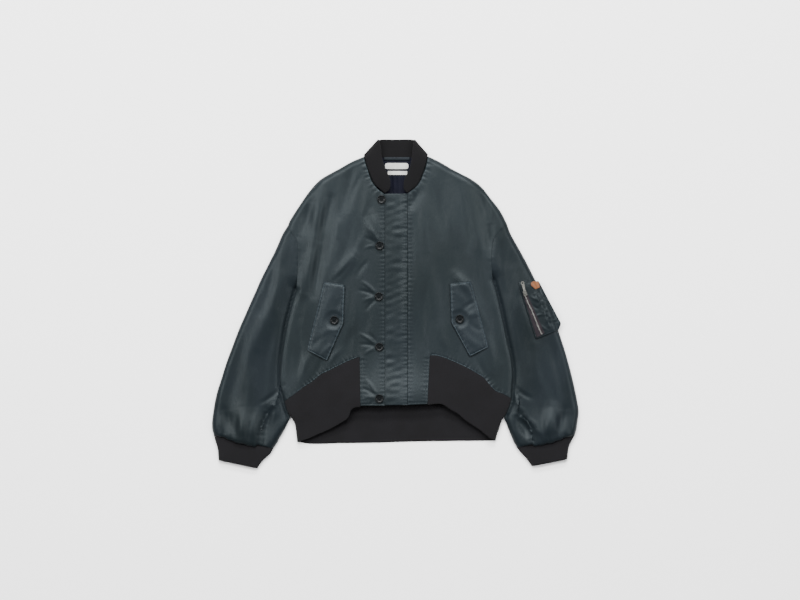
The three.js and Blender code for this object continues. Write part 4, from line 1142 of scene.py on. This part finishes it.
def make_hem_rib_front(side, name):
    seam, hem = RIB_SEAM[name], RIB_HEM[name]
    side_stretch = cut(side.side, seam[-1][1], hem[-1][1])
    tab_side = line(seam[0], hem[0])
    flat, ridges, faces = knitted(seam, hem, tab_side, side_stretch, run_along(seam)[-1], 26)
    x, y = flat.T
    to_seam, to_hem = distance_to(seam, x, y), distance_to(hem, x, y)
    soft = smooth(np.minimum(to_seam, to_hem) / 3)
    edges = turned(to_hem, roll=1.4) + turned(to_seam, roll=1.0)
    edges = edges + turned(distance_to(tab_side, x, y), roll=1.0)
    detail = ridges * soft + edges + pucker(seam, x, y, "rib_seam_knit")
    z = body_top(x, y) - GAP - (1 - soft) * 0.2 + detail * smooth(body_edge_distance(x, y) / 5)
    points = np.column_stack([flat, z])
    points, groups = shell(points, facing_up(points, faces), RIB - GAP)
    return make_piece(f"hem_rib_{name}_knit", points, groups, BLACK_RIB, [f"hem_rib_{name}"])


def make_hem_rib_back():
    head = BACK_RIB_TOP - SEAM
    right_side, left_side = cut(RIGHT.side, head, -302.4), cut(LEFT.side, head, -299.9)
    hem = curved(np.vstack([right_side[-1:], BACK_HEM[1:-1], left_side[-1:]]))
    top = line((right_side[0][0], head), (left_side[0][0], head))
    flat, ridges, faces = knitted(top, hem, right_side, left_side, run_along(hem)[-1], 24)
    x, y = flat.T
    to_hem = distance_to(hem, x, y)
    away = smooth(body_edge_distance(x, y) / 5)
    upper = back_inside(x, y, RIB - WALE_HEIGHT) + (ridges + turned(to_hem, roll=1.3)) * away
    under = back_under(x, y) + 0.05 + 0.6 * (1 - arc(to_hem / 1.3))
    points = np.column_stack([flat, upper])
    beneath = np.column_stack([flat, np.minimum(under, upper - LEAST_WALL)])
    points, groups = joined(points, beneath, facing_up(points, faces))
    return make_piece("hem_rib_back_knit", points, groups, BLACK_RIB, ["hem_rib_back"])


def make_cuff(side, sections, name):
    """A knitted tube, gathered to the sleeve at one end and folded at the other"""
    seam = side.hem
    way = np.sign(seam[2] - seam[0]) * GAP / math.hypot(seam[2] - seam[0], seam[3] - seam[1])
    shift = np.array([seam[3] - seam[1], seam[0] - seam[2]]) * way
    table = np.vstack([seam + np.tile(shift, 2), sections])
    shares = eased(14, 4, 42)
    outer, inner = (
        resampled_rows(curved(edge, 4)[:, None], shares)[:, 0] for edge in (table[:, :2], table[:, 2:]))
    half = round(math.hypot(*(table[1, :2] - table[1, 2:])) / WALE) * POINTS_PER_WALE
    rows, around = len(shares), 2 * half

    # Shares of the width, closer together at the rolled edges: over the top, then back beneath
    even = np.linspace(0, 1, half + 1)
    rounder = 0.5 - 0.5 * np.cos(np.pi * even) * mix(1, 0.5, np.sin(np.pi * even))
    column = np.arange(around)
    upper = column <= half
    share = mix(rounder, even, 0.6)[np.where(upper, column, around - column)]
    distance = np.minimum(share, 1 - share) * np.linalg.norm(inner - outer, axis=1)[:, None]

    # The ridges fade out and the wall rolls in at both ends
    soft = np.minimum(0.4 * np.minimum(np.arange(rows), np.arange(rows)[::-1]), 1)[:, None]
    lip = 1.1 * (1 - soft)
    ridge = WALE_HEIGHT * (0.5 + 0.5 * np.cos(2 * np.pi * column / POINTS_PER_WALE))
    rise = CUFF_CROWN - 0.2 - FOLD_MIDDLE + ridge * soft - lip
    top = FOLD_MIDDLE + rise * arc(distance / CUFF_ROLL)
    low = FOLD_MIDDLE + (0.05 - FOLD_MIDDLE + lip / 2) * arc(distance / UNDER_ROLL)
    places = mix(outer[:, None], inner[:, None], share[:, None])
    points = np.dstack([places, np.where(upper, top, low)]).reshape(-1, 3)
    faces = grid_faces(rows, around, wrapped=True)
    if vertex_normals(points, faces)[half // 2 + around * (rows // 2), 2] < 0:
        faces = faces[:, ::-1]
    points, groups = shell(points, faces, RIB - 0.4)
    return make_piece(f"cuff_{name}_knit", points, groups, BLACK_RIB, [f"cuff_{name}"])


def make_collar():
    """A doubled knit band with a folded free edge"""
    count = round(COLLAR_LENGTH / WALE) * POINTS_PER_WALE + 1
    u = np.linspace(0, 1, count)
    seam, free = through(COLLAR[:, :3], u), through(COLLAR[:, 3:], u)

    def place(v):
        point = mix(seam, free, v)
        bow = np.sin(np.pi * v) * smooth((point[:, 2] - 6) / 8)
        point[:, 2] += COLLAR_BOW * bow
        return point

    def normal(v):
        along = np.gradient(place(v), axis=0)
        over = place(min(1, v + 1e-3)) - place(max(0, v - 1e-3))
        return unit(np.cross(along, over))

    half = COLLAR_RIB / 2 - 0.15
    run = run_along(place(0.5))
    ridge = wales(run, run[-1]) - WALE_HEIGHT / 2
    shares = np.linspace(0, 1, 14)[:-1]
    rings = [place(v) + normal(v) * (half + ridge * (v > 0))[:, None] for v in shares]
    back_off = np.minimum(half / np.maximum(np.linalg.norm(free - seam, axis=1), 1), 0.4)
    tip = normal(0.98)  # just short of the edge, for the direction of the fold's round
    for angle in np.radians([60, 30, 0, -30, -60]):
        v = 1 - back_off * (1 - math.cos(angle))
        rings.append(mix(seam, free, v[:, None]) + tip * half * math.sin(angle))
    rings += [place(v) - normal(v) * (half + ridge * (v > 0))[:, None] for v in shares[::-1]]
    rows = np.stack(rings, axis=1)
    columns = rows.shape[1]
    points = rows.reshape(-1, 3)
    faces = grid_faces(count, columns, wrapped=True)
    first = list(range(columns))
    last = [(count - 1) * columns + k for k in range(columns)]
    normals = vertex_normals(points, faces)
    middle = (count // 2) * columns + 4
    if normals[middle] @ (points[middle] - place(0.5)[count // 2]) < 0:
        faces = faces[:, ::-1]
        caps = [first, last[::-1]]
    else:
        caps = [first[::-1], last]
    piece = make_piece("collar_knit", points, [faces], SHADED_COLLAR_KNIT, ["collar"])
    add_caps(piece, caps)
    return piece


def add_caps(piece, caps):
    """Closes a tube with a fan at each end"""
    mesh = bmesh.new()
    mesh.from_mesh(piece.data)
    mesh.verts.ensure_lookup_table()
    for cap in caps:
        mesh.faces.new([mesh.verts[k] for k in cap])
    bmesh.ops.recalc_face_normals(mesh, faces=mesh.faces)
    mesh.to_mesh(piece.data)
    mesh.free()
    piece.data.shade_smooth()
    piece.data.set_sharp_from_angle(angle=math.radians(50))


# Flaps and pocket

def eased_corners(outline, radius, steps=4):
    """The outline with each corner rounded"""
    before, after = np.roll(outline, 1, axis=0), np.roll(outline, -1, axis=0)
    made = []
    for a, b, c in zip(before, outline, after):
        reach = min(radius, 0.45 * math.hypot(*(a - b)), 0.45 * math.hypot(*(c - b)))
        start = b + (a - b) / math.hypot(*(a - b)) * reach
        end = b + (c - b) / math.hypot(*(c - b)) * reach
        for k in range(steps + 1):
            t = k / steps
            made.append((1 - t) ** 2 * start + 2 * t * (1 - t) * b + t * t * end)
    return np.array(made)


def flap_height(outline, row, sewn_edge, button):
    loop = closed(outline)

    def height(x, y):
        edge, from_sewn = distance_to(loop, x, y), distance_to(sewn_edge, x, y)
        root = mix(0.3, 1.0, smooth(from_sewn / 9))
        free = beyond(np.hypot(x - button[0], y - button[1]), start=10, fade=14)
        stand = FLAP_STAND * smooth(from_sewn / 34) + fold_height(x, y, FLAP_CREASES) + arc(edge / 12)
        detail = turned(edge, roll=1.9) + groove(distance_to(row, x, y), depth=0.8, width=1.2)
        detail = detail + pucker(loop, x, y, "flap_edge")
        return body_top(x, y) + GAP + (FLAP - 0.5) * root + stand * free + detail
    return height


def sewn_on(node, outline, row, height, under, spacing, row_width, material):
    """A flap or a pocket: its face at one height, with a row of stitches, and its back at another"""
    offsets = (-row_width, 0, row_width)
    flat, faces = planform(outline, spacing, rings=(0.3, 0.9, 1.8), fine=[(row, offsets)])
    points, groups = joined(raised(flat, height), raised(flat, under), faces)
    return make_piece(f"{node}_cloth", points, groups, material, [node])


def make_flap(corners, sewn_edge, name):
    outline = eased_corners(corners, 4)
    row = closed(inset(outline, FLAP_ROW))
    height = flap_height(outline, row, sewn_edge, FLAP_BUTTONS[name])

    def under(x, y):
        return body_top(x, y) + GAP

    piece = sewn_on(
        f"pocket_flap_{name}", outline, row, height, under, 2.4, 1.2, FLAP_SATIN)
    return piece, height, row


def pocket_base(x, y):
    """What the sleeve pocket lies on: the sleeve, and level with its stand past the sleeve's edge"""
    off_sleeve = x > x_at(LEFT.outer, y)
    return np.where(off_sleeve, POCKET_STAND, np.maximum(POCKET_STAND, sleeve_top(LEFT, x, y)))


def pen_step(route, x, y):
    """The pen pocket stands over the cloth beside its edge"""
    share, across, _ = to_stretch(x, y, route[0], route[-1])
    step = 1.8 * beyond(across, -1.4, 2) * np.exp(-((across / 9) ** 2)) * (across > -2)
    return step * smooth(share * 6) * smooth((1 - share) * 6)


def pocket_height(loop, row):
    def height(x, y):
        edge = distance_to(loop, x, y)
        z = pocket_base(x, y) + GAP + POCKET - 0.5 + 0.6 * arc(edge / 10)
        z = z + turned(edge, roll=1.6) + groove(distance_to(row, x, y), width=1.2)
        for k, route in enumerate(PEN_EDGES):
            z = z + pen_step(route, x, y) + pucker(route, x, y, "pen_edge", 1.7 * k)
        return z + fold_height(x, y, POCKET_CREASES) + pucker(loop, x, y, "pocket_edge")
    return height


def make_pocket():
    outline = eased_corners(SLEEVE_POCKET, 4)
    row = closed(inset(outline, FLAP_ROW))
    height = pocket_height(closed(outline), row)

    def under(x, y):
        return np.minimum(pocket_base(x, y) + GAP, height(x, y) - LEAST_WALL)

    piece = sewn_on("sleeve_pocket", outline, row, height, under, 1.9, 1.0, SLEEVE_SATIN)
    return piece, height, row


def laid_on(node, kind, outline, base, wall, material, detail=None, spacing=2.0, roll=0.4):
    """A flat piece of trim on a surface, with its edges eased"""
    flat, faces = planform(outline, spacing, rings=(0.25, 0.8))
    x, y = flat.T
    edge = distance_to(closed(outline), x, y)
    top = base(x, y) + wall + turned(edge, roll) + (detail(x, y) if detail else 0)
    points, groups = joined(np.column_stack([flat, top]), np.column_stack([flat, base(x, y)]), faces)
    return make_piece(f"{node}_{kind}", points, groups, material, [node])


TAB_OUTLINE = eased_corners(LEATHER_TAB, 0.9)


def rounded(shape):
    corners = line(
        (shape.right, shape.top), (shape.left, shape.top),
        (shape.left, shape.bottom), (shape.right, shape.bottom))
    return eased_corners(corners, shape.round, 6)


def pleat(x):
    return PLEAT.height * np.exp(-(((x - PLEAT.x) / PLEAT.width) ** 2))


def lining_base(x, y):
    return back_inside(x, y, SHELL) + GAP + pleat(x)


def label_base(x, y):
    return lining_base(x, y) + GAP + LINING


def tape_base(x, y):
    return pocket_base(x, y) + 2 * GAP + POCKET


def loop_detail(x, y):
    """The hang loop's rounded section, with an uneven wave along it"""
    middle, half = (HANG_LOOP.top + HANG_LOOP.bottom) / 2, (HANG_LOOP.top - HANG_LOOP.bottom) / 2
    return 1.2 * arc((half - np.abs(y - middle)) / half) + 0.2 * wander(x, 15, 2.0)


def waved(height, pitch, phase, lean=0.0):
    """Cloth that lies in an uneven wave across the neck"""
    return lambda x, y: height * wander(x + lean * y, pitch, phase)


def tab_detail(x, y):
    return groove(distance_to(closed(TAB_OUTLINE), x, y) - 2.0, depth=0.25, width=0.5)


# Buttons

def button_profile():
    """Half of the button's section, from the middle of its back round its rim to its dished face"""
    rim, height = BUTTON.radius, BUTTON.height
    return line(
        (0, 0), (rim - 1.2, 0), (rim - 0.4, 0.4), (rim, 1.3), (rim - 0.05, height - 0.9),
        (rim - 0.45, height - 0.15), (rim - 1.1, height), (rim - 1.75, height - 0.15),
        (rim - 2.1, height - 0.8), (rim - 2.4, height - 1.2), (0, height - 1.5))


def drill_hole(disc, place):
    bpy.ops.mesh.primitive_cylinder_add(
        vertices=16, radius=BUTTON.hole * MM, depth=4 * BUTTON.height * MM, location=place)
    drill = bpy.context.object
    cutter = disc.modifiers.new("hole", "BOOLEAN")
    cutter.operation = "DIFFERENCE"
    cutter.object = drill
    bpy.context.view_layer.update()
    drilled = disc.evaluated_get(bpy.context.evaluated_depsgraph_get())
    mesh = bpy.data.meshes.new_from_object(drilled)
    disc.modifiers.clear()
    disc.data = mesh
    bpy.data.objects.remove(drill)


def button_mesh():
    """A turned button with four holes, made once for all"""
    profile = curved(button_profile(), 3)
    profile = profile[profile[:, 0] > ON_EDGE]
    sides, count = BUTTON.sides, len(profile)
    angles = 2 * np.pi * np.arange(sides) / sides
    points = [(r * math.cos(a), r * math.sin(a), z) for r, z in profile for a in angles]
    points += [(0, 0, 0), (0, 0, profile[-1][1])]
    faces = grid_faces(count, sides, wrapped=True).tolist()
    bottom, top = count * sides, count * sides + 1
    for k in range(sides):
        n = (k + 1) % sides
        faces.append([bottom, n, k])
        faces.append([top, (count - 1) * sides + k, (count - 1) * sides + n])
    mesh = bpy.data.meshes.new("button_disc")
    mesh.from_pydata((np.array(points) * MM).tolist(), [], faces)
    disc = add_object("button_disc", mesh)
    for angle in np.radians((45, 135, 225, 315)):
        x, y = BUTTON.hole_place * math.cos(angle), BUTTON.hole_place * math.sin(angle)
        drill_hole(disc, (x * MM, y * MM, BUTTON.height * MM))
    made = disc.data
    bpy.data.objects.remove(disc)
    made.shade_smooth()
    made.set_sharp_from_angle(angle=math.radians(35))
    return made


def thread_cross(x, y, z, turn):
    """The button's sewing: two crossed bars of thread through its holes"""
    points, faces = [], []
    sides, rings = 8, 9
    radius = 0.38
    for k, angle in enumerate((45 + turn, 135 + turn)):
        way, side = direction(angle), direction(angle + 90)
        for strand in (-0.35, 0.35):
            faces.append(grid_faces(rings, sides, wrapped=True) + len(points))
            for t in np.linspace(-1, 1, rings):
                middle = np.array([x, y]) + way * t * BUTTON.hole_place + side * strand
                bow = 0.55 * (1 - t * t) - 3.6 * max(0, abs(t) - 0.8)
                height = z + BUTTON.height - 1.3 + bow + 0.15 * k
                for a in 2 * np.pi * np.arange(sides) / sides:
                    points.append((*(middle + side * radius * math.cos(a)), height + radius * math.sin(a)))
    return np.array(points), np.vstack(faces)


def make_buttons():
    disc = button_mesh()
    disc.materials.clear()
    disc.materials.append(DARK_RESIN)
    places = [(f"front_button_{k + 1}", *place) for k, place in enumerate(FRONT_BUTTONS)]
    places += [(f"flap_button_{side}", *place) for side, place in FLAP_BUTTONS.items()]
    for k, (node, x, y) in enumerate(places):
        turn = 17 * k
        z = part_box(node)[0].z / MM
        piece = add_object(f"{node}_turned", disc.copy())
        spun = Matrix.Rotation(math.radians(turn), 4, "Z")
        piece.data.transform(Matrix.Translation((x * MM, y * MM, z * MM)) @ spun)
        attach(piece, "root")
        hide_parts(node)
        points, faces = thread_cross(x, y, z, turn)
        make_piece(f"{node}_thread", points, [faces], DARK_THREAD, crease=60)


# Zip

def make_teeth():
    points, faces = [], []
    route = spread(ZIP_LINE, TOOTH.count)
    ways = unit(np.gradient(route, axis=0))
    height = tape_base(*route.T) + LINING + TOOTH.middle
    corners = np.array([(a, b, c) for a in (-1, 1) for b in (-1, 1) for c in (-1, 1)]) * TOOTH.half
    box_faces = np.array([
        [0, 1, 3, 2], [4, 6, 7, 5], [0, 4, 5, 1], [2, 3, 7, 6], [0, 2, 6, 4], [1, 5, 7, 3]])
    for k, (middle, way, side, z) in enumerate(zip(route, ways, turned_left(ways), height)):
        offset = TOOTH.offset if k % 2 else -TOOTH.offset
        for cx, cy, cz in corners:
            narrow = TOOTH.tip if (cx > 0) == (k % 2 == 0) else 1.0
            points.append((*(middle + side * (cx + offset) + way * cy * narrow), z + cz))
        faces.append(box_faces + len(corners) * k)
    return make_piece(
        "zip_teeth", np.array(points), [np.vstack(faces)], BRIGHT_NICKEL, crease=30)


# Making

front_right, front_right_top = make_front(RIGHT, "right")
front_left, front_left_top = make_front(LEFT, "left")
band = make_band()
back = make_back()
sleeves = [make_sleeve(side, name) for name, side in SIDES.items()]
hem_ribs = [make_hem_rib_front(side, name) for name, side in SIDES.items()]
hem_rib_back = make_hem_rib_back()
cuffs = [make_cuff(RIGHT, CUFF_RIGHT, "right"), make_cuff(LEFT, CUFF_LEFT, "left")]
collar = make_collar()
flap_right, flap_right_top, flap_right_row = make_flap(FLAP_RIGHT, FLAP_RIGHT[[5, 0]], "right")
flap_left, flap_left_top, flap_left_row = make_flap(FLAP_LEFT, FLAP_LEFT[[1, 2]], "left")
pocket, pocket_top, pocket_row = make_pocket()
make_buttons()
make_teeth()

tape = laid_on("zip_tape", "cloth", ZIP_TAPE, tape_base, LINING, BROWN_TAPE)
laid_on("leather_tab", "hide", TAB_OUTLINE, tape_base, LEATHER, TAN, tab_detail, roll=0.7)
lining = laid_on(
    "back_lining", "cloth", BACK_LINING, lining_base, LINING, NAVY, waved(0.4, 13, 0.8, lean=0.1))
neck_label = laid_on(
    "neck_label", "cloth", rounded(NECK_LABEL), label_base, LABEL, WHITE,
    waved(0.25, 22, 0.3))
size_label = laid_on(
    "size_label", "cloth", rounded(SIZE_LABEL), label_base, LABEL, WHITE,
    waved(0.2, 19, 1.3))
loop = laid_on(
    "hang_loop", "cloth", rounded(HANG_LOOP), label_base, LABEL, LOOP_SATIN, loop_detail,
    spacing=1.5)

for name, routes, top, material in (
        ("front_right", FRONT_ROWS["right"][2:], front_right_top, THREAD),
        ("front_left", FRONT_ROWS["left"][2:], front_left_top, THREAD),
        ("rib_seam_right", FRONT_ROWS["right"][:2], front_right_top, LIGHT_THREAD),
        ("rib_seam_left", FRONT_ROWS["left"][:2], front_left_top, LIGHT_THREAD),
        ("flap_right", [flap_right_row], flap_right_top, LIGHT_THREAD),
        ("flap_left", [flap_left_row], flap_left_top, LIGHT_THREAD),
        ("pocket", [pocket_row], pocket_top, THREAD)):
    thread_points, thread_faces = stitch_rows(routes, top)
    make_piece(f"{name}_thread", thread_points, [thread_faces], material, crease=60)

for node in (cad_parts["zip_slider"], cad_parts["zip_pull"]):
    node.data.materials.clear()
    node.data.materials.append(NICKEL)


# Areas in square metres of the cut of what shows: each front, and each sleeve all round; they are worked
# out and not used


for piece, name in ((front_right, "right"), (front_left, "left")):
    area = abs(signed_area(front_outline(SIDES[name], name))) * MM**2
for piece, side in zip(sleeves, SIDES.values()):
    2 * abs(signed_area(sleeve_outline(side))) * MM**2


# Floor, light and camera

FLOOR = SimpleNamespace(half=6000, z=-0.2)
PICTURE_WIDTH = 800
PIXEL = 2.193  # width that one pixel of the picture covers on the jacket
CAMERA = SimpleNamespace(lens=85, sensor=36, x=10.1, y=8.6, level=4)

# Softboxes in metres and watts: place, size, power
SOFTBOXES = {
    "top_softbox": ((0.0, 2.4, 4.2), (3.8, 1.1), 405),
    "low_top_softbox": ((0.0, 4.4, 3.2), (3.0, 1.0), 450),
    "left_softbox": ((-2.7, 0.9, 3.7), (1.1, 2.5), 200),
    "right_softbox": ((3.0, 0.3, 3.5), (1.1, 2.5), 132),
}
WORLD_LIGHT = 0.44


def make_floor():
    material, tree, shader = start_material("pale_floor", 0.9, Specular_IOR_Level=0.1)
    shaded_noise(tree, shader, srgb(248, 248, 248), srgb(249, 249, 249), scale=1)
    corners = [(x * FLOOR.half, y * FLOOR.half, FLOOR.z) for x, y in ((-1, -1), (1, -1), (1, 1), (-1, 1))]
    mesh = bpy.data.meshes.new("floor")
    mesh.from_pydata((np.array(corners) * MM).tolist(), [], [(0, 1, 2, 3)])
    mesh.materials.append(material)
    add_object("floor", mesh)


def make_light():
    world = bpy.data.worlds.new("studio")
    world.use_nodes = True
    background = world.node_tree.nodes["Background"]
    background.inputs["Color"].default_value = (1, 1, 1, 1)
    background.inputs["Strength"].default_value = WORLD_LIGHT
    bpy.context.scene.world = world
    for name, (place, size, power) in SOFTBOXES.items():
        light = bpy.data.lights.new(name, "AREA")
        light.shape = "RECTANGLE"
        light.size, light.size_y = size
        light.energy = power
        lamp = add_object(name, light)
        lamp.location = place
        lamp.rotation_euler = (-Vector(place)).to_track_quat("-Z", "Y").to_euler()


def make_camera():
    """Looks straight down from where a pixel covers its width at the camera's level"""
    data = bpy.data.cameras.new("camera")
    data.lens = CAMERA.lens
    data.sensor_width = CAMERA.sensor
    camera = add_object("camera", data)
    distance = PICTURE_WIDTH * PIXEL * CAMERA.lens / CAMERA.sensor
    camera.location = (CAMERA.x * MM, CAMERA.y * MM, (distance + CAMERA.level) * MM)
    bpy.context.scene.camera = camera


make_floor()
make_light()
make_camera()
